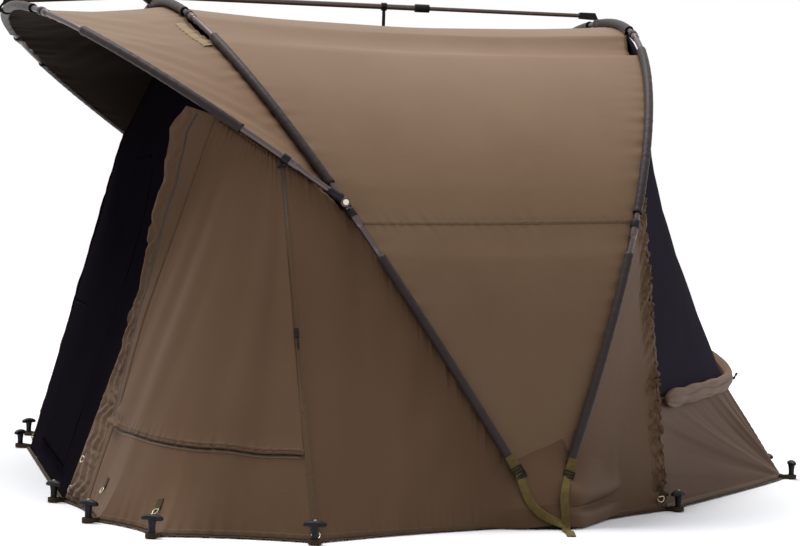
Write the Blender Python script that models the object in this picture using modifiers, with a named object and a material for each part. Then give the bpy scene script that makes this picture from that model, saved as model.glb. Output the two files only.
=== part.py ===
"""One-man bivvy tent: three arched ribs, a telescopic ridge bar, cloth walls, mesh door and pegs.

Lengths are in metres. The tent stands on Z = 0 and its door faces -Y. The front rib stands still;
the rear rib turns on the base hubs, and the peak rib turns on two swivels on the front rib.
"""

import math

import bmesh
import bpy
import numpy as np
from mathutils import Matrix, Vector

# Ribs: aluminium tube bent to a superellipse, measured along each rib's own sloping plane
TUBE_RADIUS = 0.008
FOOT_HALF_WIDTH = 1.300
FRONT_FOOT_Y = -0.020
FRONT_RIB_HEIGHT = 1.620
FRONT_LEAN_DEG = 33.1
FRONT_SQUARENESS = 2.45
REAR_FOOT_Y = 0.015
REAR_RIB_INSET = 0.030
REAR_RIB_HEIGHT = 1.423
REAR_LEAN_DEG = 17.9
REAR_SQUARENESS = 2.35
PEAK_RIB_OUTSET = 0.026
PEAK_RIB_HEIGHT = 0.970
PEAK_LEAN_DEG = 56.0
PEAK_SQUARENESS = 2.35
HUB_PIVOT_HEIGHT = 0.035
HUB_Y = 0.119
SECTION_GAP = 0.0004
WELD_DISTANCE = 0.000004
CROSSING_STEPS = 4
SIDES = ((1, "right"), (-1, "left"))

# Places along a rib, as shares of the way from its foot to its top
SWIVEL_SHARE = 0.400
FRONT_CROWN_SHARE = 0.765
REAR_LEG_SHARE = 0.360
REAR_CROWN_SHARE = 0.765
PEAK_FERRULE_SHARE = 0.098
PEAK_CROWN_SHARE = 0.656
FRONT_SLEEVE_SHARES = ((0.080, 0.327), (0.425, 0.691), (0.790, 0.984))
REAR_SLEEVE_SHARES = ((0.075, 0.328), (0.384, 0.705), (0.800, 0.984))
PEAK_SLEEVE_SHARES = ((0.186, 0.520), (0.712, 0.982))
DOOR_SHARE = 0.245
WINDOW_SEAM_SHARE = 0.114
REAR_SEAM_SHARE = 0.459

# Ferrules and pole sleeves
FERRULE_LENGTH = 0.050
FERRULE_CLEARANCE = 0.0009
FERRULE_RADIUS = 0.0109
COLLAR_CHAMFER = 0.0015
SLEEVE_CLEARANCE = 0.0012
SLEEVE_OUTER_RADIUS = 0.0140
TAPE_WIDTH = 0.0044
TAPE_THICKNESS = 0.0016
TAPE_DEPTH_SHARE = 0.70

# Cloth
CLOTH_THICKNESS = 0.002
CLOTH_GAP = 0.0004
SEAM_INSET = 0.0013
ROOF_SAG = 0.030
ROOF_SAG_POWER = 4
HOOD_SAG = 0.012
TIP_LENGTH = 0.085
SWIVEL_CLOTH_GAP = 0.085
SWIVEL_CLOTH_DROP = 0.008
HOOD_TIP_GAP = 0.060
SCALLOP_DEPTH = 0.016

# Plan of the hem on the ground, from the line between the base hubs
FLOOR_FRONT = 1.190
FLOOR_REAR = 1.100
FRONT_HEM_SHARES = ((0.565, 1.000), (0.895, 0.960), (1.118, 0.858), (1.210, 0.550))
REAR_HEM_SHARES = (0.705, 0.395)
HEM_BOW = 0.022
HUB_HEM_GAP = 0.014
HUB_HEM_INSET = 0.018

# Rear window and skirt
SILL_HEIGHT = 0.310
SILL_REAR = 0.890
SILL_NOSE_SHARE = 0.14
HEM_NOSE_SHARE = 0.10
ROLL_RADIUS = 0.022
ROLL_TAPER = 0.2
ROLL_LUMP_TURN = 1.9
ROLL_STANDOFF = 0.0222
ROLL_LIFT_SHARE = 0.45
ROLL_MARGIN = 2

# Mesh door, measured in the sloping plane of the doorway
DOOR_OUTSET = 0.0009
DOOR_EDGE_GAP = 0.0014
DOOR_TOP_GAP = 0.0060
DOOR_TOP_STEPS = 18
FLAP_HALF_WIDTH = 0.430
FLAP_BOTTOM = 0.060
FLAP_HEIGHT = 0.930
FLAP_SHOULDER_SHARE = 0.55
FLAP_GAP = 0.0008
FLAP_CORNER_STEPS = 8
DOOR_ROLL_WIDTH = 0.050
DOOR_ROLL_THICKNESS = 0.008
DOOR_ROLL_BULGE = 0.004
DOOR_ROLL_INSET = 0.004
DOOR_ROLL_END_GAP = 0.030
DOOR_ROLL_GATHERS = 3
DOOR_ROLL_GATHER_SHARE = 0.30
DOOR_ROLL_STEPS = 12

# Base hubs, moulded boots that carry the rib feet
HUB_LENGTH = 0.110
HUB_WIDTH = 0.040
HUB_HEIGHT = 0.030
HUB_EDGE = 0.006
SOCKET_RADIUS = 0.0135
SOCKET_LENGTH = 0.040
SOCKET_CLEARANCE = 0.0009
PIN_RADIUS = 0.004
PIN_CLEARANCE = 0.0004
PIN_HEAD_RADIUS = 0.0075
PIN_HEAD_LENGTH = 0.004
LUG_RADIUS = 0.013
LUG_THICKNESS = 0.010
LUG_GAP = 0.0004
NECK_LENGTH = 0.055

# Swivel clamps on the front rib
CLAMP_LENGTH = 0.040
CLAMP_RADIUS = 0.0116
CLAMP_CLEARANCE = 0.0013
SWIVEL_FERRULE_GAP = 0.010
BOSS_RADIUS = 0.0112
BOSS_START_SHARE = 0.3

# Ridge bar and front bar
BAR_RADIUS = 0.0082
BAR_WALL = 0.0012
INNER_BAR_RADIUS = 0.0062
INNER_BAR_OVERLAP = 0.350
OUTER_BAR_SHARE = 0.60
BAR_RISE = 0.026
BAR_PIVOT_SPREAD = 0.024
BAR_END_LENGTH = 0.0095
BAR_SLOT_DEPTH = 0.0135
BAR_SLOT_CLEARANCE = 0.0008
BRACKET_WIDTH = 0.030
BRACKET_WALL = 0.0023
BRACKET_LOBE = 0.0135
PIN_SHARE = 0.45
COLLAR_LENGTH = 0.045
COLLAR_RADIUS = 0.0125
HOOK_WIDTH = 0.024
HOOK_WALL = 0.007
HOOK_SOCKET_LENGTH = 0.045
HOOK_SOCKET_WALL = 0.0032
HOOK_GAP = 0.0008
HOOK_SHOULDER_DEG = 60
HOOK_LIP_DEG = -25
CLIP_LENGTH = 0.016
CLIP_WALL = 0.003
CLIP_SHARE = 0.50
CLIP_TONGUE_SHARE = 0.6

# Straps, rings and zips
WEBBING_WIDTH = 0.025
WEBBING_THICKNESS = 0.002
STRAP_GAP = 0.0014
STRAP_HUB_HEIGHT = 0.012
STRAP_REACH = 0.135
LOCK_WIDTH = 0.034
LOCK_LENGTH = 0.030
LOCK_THICKNESS = 0.006
LOCK_BAR = 0.004
SLIDER_LENGTH = 0.024
SLIDER_WIDTH = 0.010
SLIDER_THICKNESS = 0.006
SLIDER_GAP = 0.0008
SLIDER_SHARE = 0.47
PULLER_LENGTH = 0.030
PULLER_WIDTH = 0.005
PULLER_THICKNESS = 0.002
PULLER_LEVEL_SHARE = 0.7

# T-pegs, shown from the ground up, and the webbing round the hem that they hold down
PEG_LABELS = ("door", "front_inner", "front_outer", "side_front", "side_rear", "rear")
PEG_SETBACK = 0.038
PEG_HEIGHT = 0.060
PEG_SHAFT_RADIUS = 0.0105
PEG_WAIST_RADIUS = 0.0090
PEG_WAIST_SHARE = 0.50
PEG_FOOT_RADIUS = 0.0125
PEG_FOOT_SHARE = 0.07
PEG_HANDLE_LENGTH = 0.058
PEG_HANDLE_RADIUS = 0.0085
PEG_HANDLE_WIDENING = 1.35
PEG_AIM_SHARE = 0.17
LOOP_HEIGHT = 0.004
LOOP_GAP = 0.0012
LOOP_RIM = 0.006
LOOP_SWEEP_DEG = 115
HEM_TAPE_GAP = 0.0019
HEM_TAPE_WIDTH = 0.010

# How finely the curves are cut
RIB_STATIONS = 36
ARCH_STEPS_PER_STATION = 100
TUBE_STEPS = 2
ROUND_SIDES = 16
ROOF_COLUMNS = 32
ROOF_ROWS = 6
HOOD_COLUMNS = 30
HOOD_ROWS = 4
WALL_ROWS = 5
REAR_COLUMNS = 20
FRONT_HEM_STEPS = (3, 2, 3, 9)
GUSSET_COLUMNS = 8
SKIRT_ROWS = 3
PEG_SIDES = 8
PEG_HANDLE_RINGS = 6
SMALL_OVERRUN = 0.010

FLOOR_LIFT = CLOTH_THICKNESS / 2
WINDOW_SEAM_COLUMN = sum(FRONT_HEM_STEPS[:3])


class Arch:
    """A rib's centre line, from its +X foot over the top to its -X foot, in the plane that it leans in.

    With a turn t from 0 to pi, x = half_width * |cos t| ** (2 / squareness), with the sign of cos t,
    and the height up the slope is height * |sin t| ** (2 / squareness). The stations are evenly
    spaced along it, and every piece on the rib runs through the same stations.
    """

    def __init__(self, half_width, height, squareness, lean_deg, foot):
        turns = np.linspace(0.0, math.pi, ARCH_STEPS_PER_STATION * RIB_STATIONS + 1)
        power = 2.0 / squareness
        across = half_width * np.sign(np.cos(turns)) * np.abs(np.cos(turns)) ** power
        up = height * np.abs(np.sin(turns)) ** power
        lengths = along(np.stack([across, up], 1))
        places = np.linspace(0.0, lengths[-1], RIB_STATIONS + 1)
        self.stations = np.stack([np.interp(places, lengths, v) for v in (across, up)], 1)
        self.inward = inward(self.stations)
        self.distances = along(self.stations)
        self.half = self.distances[-1] / 2
        self.frame = Matrix.Translation(foot) @ Matrix.Rotation(math.radians(lean_deg), 4, "X")

    def flat(self, distance, drop=0.0):
        """The point at this distance from the +X foot, (x, 0, height) in the rib's plane.

        It lies on the centre line, or this far inside it.
        """
        points = self.stations + self.inward * drop
        x, z = (np.interp(distance, self.distances, points[:, k]) for k in (0, 1))
        return Vector((x, 0.0, z))

    def places(self, start, end):
        """The distances of both ends and of the stations between them."""
        inner = (self.distances > start + SECTION_GAP) & (self.distances < end - SECTION_GAP)
        return [start, *self.distances[inner], end]

    def lining(self, distance, drop=0.0):
        """The cloth's middle just inside the rib, in world space, or a further drop inside it."""
        return self.frame @ self.flat(distance, LINING_DROP + drop)

    def centre(self, distance):
        """The point on the centre line at this distance, in world space."""
        return self.frame @ self.flat(distance)

    def lining_towards(self, distance, target, drop=0.0):
        """The same, moved round the rib so that a straight line to the target clears the rib."""
        centre = self.centre(distance)
        inner = self.lining(distance, drop) - centre
        ahead = (self.centre(distance + TUBE_RADIUS) - centre).normalized()
        run = target - centre
        run = (run - ahead * run.dot(ahead)).normalized()
        if inner.dot(run) >= 0.0:
            return centre + inner
        side = inner - run * inner.dot(run)
        return centre + side.normalized() * inner.length

    def direction(self, distance):
        """The unit direction along the rib at this distance, in the rib's plane."""
        return (self.flat(distance + TUBE_RADIUS) - self.flat(distance)).normalized()


def along(points):
    """The distance of each point from the first, along the line through them."""
    steps = np.linalg.norm(np.diff(points, axis=0), axis=1)
    return np.concatenate([[0.0], np.cumsum(steps)])


def inward(stations):
    """The unit direction towards the inside of the arch at each station."""
    tangent = np.gradient(stations, axis=0)
    tangent[0] = (0.0, 1.0)
    tangent[-1] = (0.0, -1.0)
    tangent /= np.linalg.norm(tangent, axis=1)[:, None]
    return np.stack([-tangent[:, 1], tangent[:, 0]], 1)


LINING_DROP = SLEEVE_OUTER_RADIUS + CLOTH_GAP + CLOTH_THICKNESS / 2
FRONT_RIB = Arch(
    FOOT_HALF_WIDTH,
    FRONT_RIB_HEIGHT,
    FRONT_SQUARENESS,
    FRONT_LEAN_DEG,
    Vector((0.0, HUB_Y + FRONT_FOOT_Y, HUB_PIVOT_HEIGHT)),
)
REAR_RIB = Arch(
    FOOT_HALF_WIDTH - REAR_RIB_INSET,
    REAR_RIB_HEIGHT,
    REAR_SQUARENESS,
    -REAR_LEAN_DEG,
    Vector((0.0, HUB_Y + REAR_FOOT_Y, HUB_PIVOT_HEIGHT)),
)
SWIVEL = SWIVEL_SHARE * FRONT_RIB.half
SWIVEL_POINT = FRONT_RIB.frame @ FRONT_RIB.flat(SWIVEL)
PEAK_RIB = Arch(
    SWIVEL_POINT.x + PEAK_RIB_OUTSET,
    PEAK_RIB_HEIGHT,
    PEAK_SQUARENESS,
    PEAK_LEAN_DEG,
    Vector((0.0, SWIVEL_POINT.y, SWIVEL_POINT.z)),
)


def clear_scene():
    for obj in list(bpy.data.objects):
        bpy.data.objects.remove(obj)


def collection(name, hidden=False):
    made = bpy.data.collections.new(name)
    bpy.context.scene.collection.children.link(made)
    made.hide_render = hidden
    return made


def material(name, colour, roughness, metallic=0.0):
    made = bpy.data.materials.new(name)
    made.use_nodes = True
    shader = made.node_tree.nodes["Principled BSDF"]
    shader.inputs["Base Color"].default_value = (*colour, 1.0)
    shader.inputs["Roughness"].default_value = roughness
    shader.inputs["Metallic"].default_value = metallic
    made.diffuse_color = (*colour, 1.0)
    return made


clear_scene()
TENT = collection("bivvy_tent")
CUTTERS = collection("cutters", hidden=True)

BROWN_CLOTH = material("brown_cloth", (0.120, 0.075, 0.043), 0.85)
SLEEVE_CLOTH = material("sleeve_cloth", (0.075, 0.064, 0.068), 0.80)
BLACK_MESH = material("black_mesh", (0.008, 0.007, 0.009), 0.90)
OLIVE_WEBBING = material("olive_webbing", (0.105, 0.090, 0.035), 0.85)
GUNMETAL_TUBE = material("gunmetal_tube", (0.260, 0.215, 0.205), 0.35, 0.85)
BLACK_PLASTIC = material("black_plastic", (0.018, 0.017, 0.022), 0.45)
ZINC_STEEL = material("zinc_steel", (0.560, 0.520, 0.440), 0.30, 1.0)


def add(name, data, skin, parent=None):
    made = bpy.data.objects.new(name, data)
    data.materials.clear()
    data.materials.append(skin)
    TENT.objects.link(made)
    made.parent = parent
    return made


def hinge_empty(name, frame):
    made = bpy.data.objects.new(name, None)
    made.empty_display_size = LUG_RADIUS
    TENT.objects.link(made)
    made.matrix_world = frame
    return made


def tube(name, paths, radius, skin, parent=None, capped=True, steps=TUBE_STEPS, radii=None):
    """Round tubes along one or more lists of points; radii scales the radius at each point."""
    curve = bpy.data.curves.new(name, "CURVE")
    curve.dimensions = "3D"
    curve.bevel_depth = radius
    curve.bevel_resolution = steps
    curve.use_fill_caps = capped
    for path in paths:
        spline = curve.splines.new("POLY")
        spline.points.add(len(path) - 1)
        for index, point in enumerate(path):
            spline.points[index].co = (*point, 1.0)
            spline.points[index].radius = radii[index] if radii else 1.0
    return add(name, curve, skin, parent)


def wrap(name, paths, inner_radius, outer_radius, skin, parent=None):
    """Open-ended tubes with a wall, such as a ferrule or a pole sleeve."""
    made = tube(name, paths, inner_radius, skin, parent, capped=False)
    wall = made.modifiers.new("wall", "SOLIDIFY")
    wall.thickness = outer_radius - inner_radius
    wall.offset = 1.0
    return made


def mesh_object(name, build, skin, parent=None):
    """An object whose mesh the given function fills through bmesh."""
    shape = bmesh.new()
    build(shape)
    mesh = bpy.data.meshes.new(name)
    shape.to_mesh(mesh)
    shape.free()
    return add(name, mesh, skin, parent)


def cylinder_between(shape, start, end, radius, sides=ROUND_SIDES):
    """Adds a capped cylinder from one point to another."""
    axis = end - start
    turn = axis.to_track_quat("Z", "Y").to_matrix().to_4x4()
    place = Matrix.Translation((start + end) / 2) @ turn
    bmesh.ops.create_cone(
        shape,
        cap_ends=True,
        segments=sides,
        radius1=radius,
        radius2=radius,
        depth=axis.length,
        matrix=place,
    )


def box(shape, size, place):
    """Adds a box of this size, centred where the matrix puts it."""
    scale = Matrix.Diagonal((*size, 1.0))
    bmesh.ops.create_cube(shape, size=1.0, matrix=place @ scale)


def boolean(target, operation, build, name):
    """Cuts or joins the target with the shape that the function builds."""
    skin = target.data.materials[0]
    cut_with(target, operation, mesh_object(f"{target.name}_{name}", build, skin, target.parent))


def cut_with(target, operation, tool):
    """Cuts or joins the target with another object, which becomes a hidden tool."""
    TENT.objects.unlink(tool)
    CUTTERS.objects.link(tool)
    tool.hide_render = True
    tool.display_type = "WIRE"
    step = target.modifiers.new(tool.name, "BOOLEAN")
    step.operation = operation
    step.solver = "EXACT"
    step.object = tool


def solid(made, parent=None):
    """The object as a plain mesh, so that it can be joined or cut, its loose caps welded."""
    bpy.context.view_layer.update()
    graph = bpy.context.evaluated_depsgraph_get()
    mesh = bpy.data.meshes.new_from_object(made.evaluated_get(graph))
    mesh.transform(made.matrix_world)
    name = made.name
    skin = made.data.materials[0]
    bpy.data.objects.remove(made)
    shape = bmesh.new()
    shape.from_mesh(mesh)
    bmesh.ops.remove_doubles(shape, verts=shape.verts, dist=WELD_DISTANCE)
    shape.to_mesh(mesh)
    shape.free()
    return add(name, mesh, skin, parent)


def outline(name, loops, thickness, skin, frame, parent=None):
    """A flat piece: closed outlines in the frame's XY plane, filled and given a thickness."""
    curve = bpy.data.curves.new(name, "CURVE")
    curve.dimensions = "2D"
    curve.fill_mode = "BOTH"
    curve.extrude = thickness / 2
    for loop in loops:
        spline = curve.splines.new("POLY")
        spline.points.add(len(loop) - 1)
        spline.use_cyclic_u = True
        for index, (x, y) in enumerate(loop):
            spline.points[index].co = (x, y, 0.0, 1.0)
    made = add(name, curve, skin, parent)
    made.matrix_local = frame
    return made


def cloth(name, grid, skin, thickness=CLOTH_THICKNESS):
    """A sheet of cloth: a grid of points (rows, columns, xyz) through its middle, with a thickness."""
    rows, columns = grid.shape[:2]

    def build(shape):
        points = [[shape.verts.new(point) for point in row] for row in grid]
        for row in range(rows - 1):
            for column in range(columns - 1):
                shape.faces.new(
                    (
                        points[row][column],
                        points[row][column + 1],
                        points[row + 1][column + 1],
                        points[row + 1][column],
                    )
                )

    made = mesh_object(name, build, skin)
    wall = made.modifiers.new("cloth", "SOLIDIFY")
    wall.thickness = thickness
    wall.offset = 0.0
    wall.use_even_offset = True
    return made


def ruled(top, bottom, rows, sag=0.0, trim=SEAM_INSET, trim_bottom=True):
    """Straight lines from each top point to its bottom point, let down by sag half way.

    The ends are trimmed back from the seams; the first and last columns are trimmed sideways too.
    """
    top = np.array([tuple(p) for p in top])
    bottom = np.array([tuple(p) for p in bottom])
    run = bottom - top
    length = np.linalg.norm(run, axis=1)[:, None]
    first = trim / length
    last = 1.0 - (trim / length if trim_bottom else 0.0)
    shares = np.linspace(0.0, 1.0, rows + 1)[:, None, None]
    places = first + (last - first) * shares
    grid = top + run * places
    grid[:, :, 2] -= sag * 4.0 * (places * (1.0 - places))[:, :, 0]
    for edge, nxt in ((0, 1), (-1, -2)):
        side = grid[:, nxt] - grid[:, edge]
        grid[:, edge] += side / np.linalg.norm(side, axis=1)[:, None] * trim
    return grid


def bowed(start, end, steps, bow):
    """Points from start to end, drawn in towards the tent's middle by bow half way along."""
    run = end - start
    side = Vector((-run.y, run.x, 0.0)).normalized()
    if side.dot((start + end) / 2 - Vector((0.0, HUB_Y, 0.0))) > 0:
        side.negate()
    shares = [index / steps for index in range(steps + 1)]
    return [start + run * share + side * bow * 4 * share * (1 - share) for share in shares]


def mirrored(points):
    return [Vector((-point.x, point.y, point.z)) for point in points]


def hem_corners(shares, reach):
    """The hem's corners on the ground, on the +X side."""
    return [Vector((x * FOOT_HALF_WIDTH, HUB_Y + y * reach, FLOOR_LIFT)) for x, y in shares]


FRONT_HEM = hem_corners(FRONT_HEM_SHARES, -FLOOR_FRONT)
REAR_HEM = hem_corners([REAR_HEM_SHARES], FLOOR_REAR)[0]
HUB_HEM_X = FOOT_HALF_WIDTH - HUB_HEM_INSET
FRONT_HUB_HEM = Vector((HUB_HEM_X, HUB_Y - HUB_LENGTH / 2 - HUB_HEM_GAP, FLOOR_LIFT))
REAR_HUB_HEM = Vector((HUB_HEM_X - REAR_RIB_INSET, HUB_Y + HUB_LENGTH / 2 + HUB_HEM_GAP, FLOOR_LIFT))


def side_points(points, side):
    return points if side > 0 else mirrored(points)


def rib_tube(name, rib, span, collars, parent, side=1):
    """A length of rib tube, thicker along each collar, as one mesh in the rib's plane."""
    places = set(rib.places(*span))
    for start, end in collars:
        places |= {start, start + COLLAR_CHAMFER, end - COLLAR_CHAMFER, end}
    places = sorted(place for place in places if span[0] <= place <= span[1])
    radii = []
    for place in places:
        thick = any(start < place < end or place == span[1] == end for start, end in collars)
        radii.append(FERRULE_RADIUS / TUBE_RADIUS if thick else 1.0)
    path = side_points([rib.flat(place) for place in places], side)
    return solid(tube(name, [path], TUBE_RADIUS, GUNMETAL_TUBE, radii=radii), parent)


def socketed(name, rib, start, end, collars, parent, side):
    """A rib section from start to end with a ferrule on its far end that the next one slides into."""
    far = end + FERRULE_LENGTH / 2
    collars = [*collars, (end - FERRULE_LENGTH / 2, far)]
    made = rib_tube(name, rib, (start, far), collars, parent, side)
    places = rib.places(end, far + SMALL_OVERRUN)
    bore = side_points([rib.flat(place) for place in places], side)
    radius = TUBE_RADIUS + FERRULE_CLEARANCE
    cut_with(made, "DIFFERENCE", solid(tube(f"{name}_bore", [bore], radius, GUNMETAL_TUBE), parent))
    return made


def pivot_lug(made, rib, side):
    """Gives a rib leg a flat lug at its foot, with a hole across it for the pivot pin."""
    foot = Vector((side * rib.flat(0.0).x, 0.0, 0.0))
    half = Vector((LUG_THICKNESS / 2, 0.0, 0.0))

    def lug(shape):
        cylinder_between(shape, foot - half, foot + half, LUG_RADIUS)

    def bore(shape):
        cylinder_between(shape, foot - half * 2, foot + half * 2, PIN_RADIUS + PIN_CLEARANCE)

    def cheeks(shape):
        tall = 2 * LUG_RADIUS + SMALL_OVERRUN
        for way in (1, -1):
            reach = LUG_THICKNESS / 2 - SECTION_GAP + LUG_RADIUS / 2
            middle = foot + Vector((way * reach, 0.0, 0.0))
            box(shape, (LUG_RADIUS, tall, tall), Matrix.Translation(middle))

    boolean(made, "DIFFERENCE", cheeks, "flats")
    boolean(made, "UNION", lug, "lug")
    boolean(made, "DIFFERENCE", bore, "pin_hole")


def crown(name, rib, share, parent):
    start = share * rib.half + SECTION_GAP / 2
    rib_tube(name, rib, (start, 2 * rib.half - start), [], parent)


def front_rib():
    """Five tubes: two legs that stand in the hubs, two shoulders and the crown."""
    empty = hinge_empty("front_rib_frame", FRONT_RIB.frame)
    leg = SWIVEL - (CLAMP_LENGTH / 2 + SWIVEL_FERRULE_GAP + FERRULE_LENGTH / 2)
    shoulder = FRONT_CROWN_SHARE * FRONT_RIB.half
    for side, hand in SIDES:
        socketed(f"front_rib_leg_{hand}", FRONT_RIB, SECTION_GAP, leg, [], empty, side)
        start = leg + SECTION_GAP
        socketed(f"front_rib_shoulder_{hand}", FRONT_RIB, start, shoulder, [], empty, side)
    crown("front_rib_crown", FRONT_RIB, FRONT_CROWN_SHARE, empty)
    sleeves("front_rib_sleeves", FRONT_RIB, FRONT_SLEEVE_SHARES, empty)


def rear_rib():
    """Five tubes; the legs end in lugs that turn on the hubs."""
    empty = hinge_empty("rear_rib_hinge", REAR_RIB.frame)
    leg = REAR_LEG_SHARE * REAR_RIB.half
    shoulder = REAR_CROWN_SHARE * REAR_RIB.half
    neck = [(0.0, NECK_LENGTH)]
    for side, hand in SIDES:
        made = socketed(f"rear_rib_leg_{hand}", REAR_RIB, 0.0, leg, neck, empty, side)
        pivot_lug(made, REAR_RIB, side)
        start = leg + SECTION_GAP
        socketed(f"rear_rib_shoulder_{hand}", REAR_RIB, start, shoulder, [], empty, side)
    crown("rear_rib_crown", REAR_RIB, REAR_CROWN_SHARE, empty)
    sleeves("rear_rib_sleeves", REAR_RIB, REAR_SLEEVE_SHARES, empty)


def peak_rib():
    """Three tubes; the side tubes end in lugs that turn on the swivels."""
    empty = hinge_empty("peak_rib_hinge", PEAK_RIB.frame)
    shoulder = PEAK_CROWN_SHARE * PEAK_RIB.half
    middle = PEAK_FERRULE_SHARE * PEAK_RIB.half
    collars = [(0.0, NECK_LENGTH), (middle - FERRULE_LENGTH / 2, middle + FERRULE_LENGTH / 2)]
    for side, hand in SIDES:
        made = socketed(f"peak_rib_side_{hand}", PEAK_RIB, 0.0, shoulder, collars, empty, side)
        pivot_lug(made, PEAK_RIB, side)
    crown("peak_rib_crown", PEAK_RIB, PEAK_CROWN_SHARE, empty)
    sleeves("peak_rib_sleeves", PEAK_RIB, PEAK_SLEEVE_SHARES, empty)


def sleeves(name, rib, shares, parent):
    """Cloth tunnels that the rib is threaded through, sewn to one tape along its inner side."""
    inner = TUBE_RADIUS + SLEEVE_CLEARANCE
    paths = []
    for start_share, end_share in shares:
        places = rib.places(start_share * rib.half, end_share * rib.half)
        path = [rib.flat(place) for place in places]
        paths += [path, mirrored(path)]
    made = solid(wrap(name, paths, inner, SLEEVE_OUTER_RADIUS, SLEEVE_CLOTH), parent)
    start = shares[0][0] * rib.half + SMALL_OVERRUN
    drop = SLEEVE_OUTER_RADIUS - TAPE_THICKNESS * TAPE_DEPTH_SHARE
    line = [rib.flat(place, drop) for place in rib.places(start, 2 * rib.half - start)]
    across = Vector((0.0, TAPE_WIDTH / 2, 0.0))
    grid = np.array([[tuple(p - across) for p in line], [tuple(p + across) for p in line]])
    tape = solid(cloth(f"{name}_tape", grid, SLEEVE_CLOTH, TAPE_THICKNESS), parent)
    cut_with(made, "UNION", tape)
    return made


def base_hub(name, side):
    """A moulded boot: a socket for the front rib's foot, and an axle that the rear rib's lug turns on."""
    foot = FRONT_RIB.frame @ FRONT_RIB.flat(0.0)
    foot.x *= side
    up = FRONT_RIB.frame.to_3x3() @ FRONT_RIB.direction(0.0)
    up.x *= side
    axle = REAR_RIB.frame @ REAR_RIB.flat(0.0)
    inner = axle.x + LUG_THICKNESS / 2 + LUG_GAP
    outer = FOOT_HALF_WIDTH + HUB_WIDTH / 2
    tip = axle.x - LUG_THICKNESS / 2 - LUG_GAP

    def on_axle(x):
        return Vector((side * x, axle.y, axle.z))

    def sole(shape):
        size = (outer - inner, HUB_LENGTH, HUB_HEIGHT)
        middle = Vector((side * (outer + inner) / 2, HUB_Y, HUB_HEIGHT / 2))
        box(shape, size, Matrix.Translation(middle))
        upright = [e for e in shape.edges if abs(e.verts[0].co.z - e.verts[1].co.z) > HUB_HEIGHT / 2]
        bmesh.ops.bevel(shape, geom=upright, offset=HUB_EDGE, segments=2, affect="EDGES")

    def socket(shape):
        cylinder_between(shape, foot - up * TUBE_RADIUS, foot + up * SOCKET_LENGTH, SOCKET_RADIUS)

    def cheek(shape):
        cylinder_between(shape, on_axle(inner), on_axle(outer - HUB_EDGE), LUG_RADIUS)

    def axle_pin(shape):
        cylinder_between(shape, on_axle(inner + LUG_THICKNESS), on_axle(tip - SECTION_GAP), PIN_RADIUS)

    def axle_head(shape):
        cylinder_between(shape, on_axle(tip), on_axle(tip - PIN_HEAD_LENGTH), PIN_HEAD_RADIUS)

    def bore(shape):
        reach = TUBE_RADIUS + SOCKET_CLEARANCE
        cylinder_between(shape, foot - up * SECTION_GAP, foot + up * 2 * SOCKET_LENGTH, reach)

    made = mesh_object(name, sole, BLACK_PLASTIC)
    boolean(made, "UNION", socket, "socket")
    boolean(made, "UNION", cheek, "cheek")
    boolean(made, "UNION", axle_pin, "axle_pin")
    boolean(made, "UNION", axle_head, "axle_head")
    boolean(made, "DIFFERENCE", bore, "bore")


def swivel_clamp(name, side):
    """A clamp round the front rib with a boss that the peak rib's lug turns against."""
    middle = Vector((side * SWIVEL_POINT.x, SWIVEL_POINT.y, SWIVEL_POINT.z))
    run = FRONT_RIB.frame.to_3x3() @ FRONT_RIB.direction(SWIVEL)
    run.x *= side
    reach = PEAK_RIB_OUTSET - LUG_THICKNESS / 2 - LUG_GAP
    face = middle + Vector((side * reach, 0.0, 0.0))
    half = run * CLAMP_LENGTH / 2

    def barrel(shape):
        cylinder_between(shape, middle - half, middle + half, CLAMP_RADIUS)

    def boss(shape):
        cylinder_between(shape, middle.lerp(face, BOSS_START_SHARE), face, BOSS_RADIUS)

    def bore(shape):
        radius = TUBE_RADIUS + CLAMP_CLEARANCE
        cylinder_between(shape, middle - half * 2, middle + half * 2, radius)

    def pin_hole(shape):
        cylinder_between(shape, middle, middle.lerp(face, 2.0), PIN_RADIUS + PIN_CLEARANCE)

    made = mesh_object(name, barrel, BLACK_PLASTIC)
    boolean(made, "UNION", boss, "boss")
    boolean(made, "DIFFERENCE", bore, "bore")
    boolean(made, "DIFFERENCE", pin_hole, "pin_hole")


def swivel_bolt(name, side):
    """The bolt through a swivel's lug and clamp, its knob on the outside."""
    out = Vector((side, 0.0, 0.0))
    centre = Vector((side * SWIVEL_POINT.x, SWIVEL_POINT.y, SWIVEL_POINT.z))
    start = centre + out * (TUBE_RADIUS + CLAMP_CLEARANCE + 4 * SECTION_GAP)
    end = centre + out * (PEAK_RIB_OUTSET + LUG_THICKNESS / 2 + LUG_GAP)
    headed_pin(name, start, end, out)


def headed_pin(name, start, end, out):
    """A pin from start to end, with a head beyond its end on the outward side."""

    def shank(shape):
        cylinder_between(shape, start, end + out * SECTION_GAP, PIN_RADIUS)

    def head(shape):
        cylinder_between(shape, end, end + out * PIN_HEAD_LENGTH, PIN_HEAD_RADIUS)

    made = mesh_object(name, shank, ZINC_STEEL)
    boolean(made, "UNION", head, "head")
    return made


def bar_pivot(sign):
    """The pivot of the ridge bar, sign 1, or of the front bar, sign -1, over the front rib's top."""
    top = FRONT_RIB.frame @ FRONT_RIB.flat(FRONT_RIB.half)
    return Vector((0.0, top.y + sign * BAR_PIVOT_SPREAD, top.z + BAR_RISE))


def bar_frame(rib, sign):
    """A frame whose +Y runs along the bar, from its pivot, passing BAR_RISE above the rib's top."""
    pivot = bar_pivot(sign)
    run = rib.frame @ rib.flat(rib.half) - pivot
    reach = math.sqrt(run.y**2 + run.z**2)
    rise = math.asin(BAR_RISE / reach)
    angle = math.atan2(run.z, abs(run.y)) + rise
    turn = Matrix.Rotation(angle, 4, "X")
    facing = Matrix.Identity(4) if sign > 0 else Matrix.Rotation(math.pi, 4, "Z")
    return Matrix.Translation(pivot) @ facing @ turn, reach * math.cos(rise)


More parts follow.
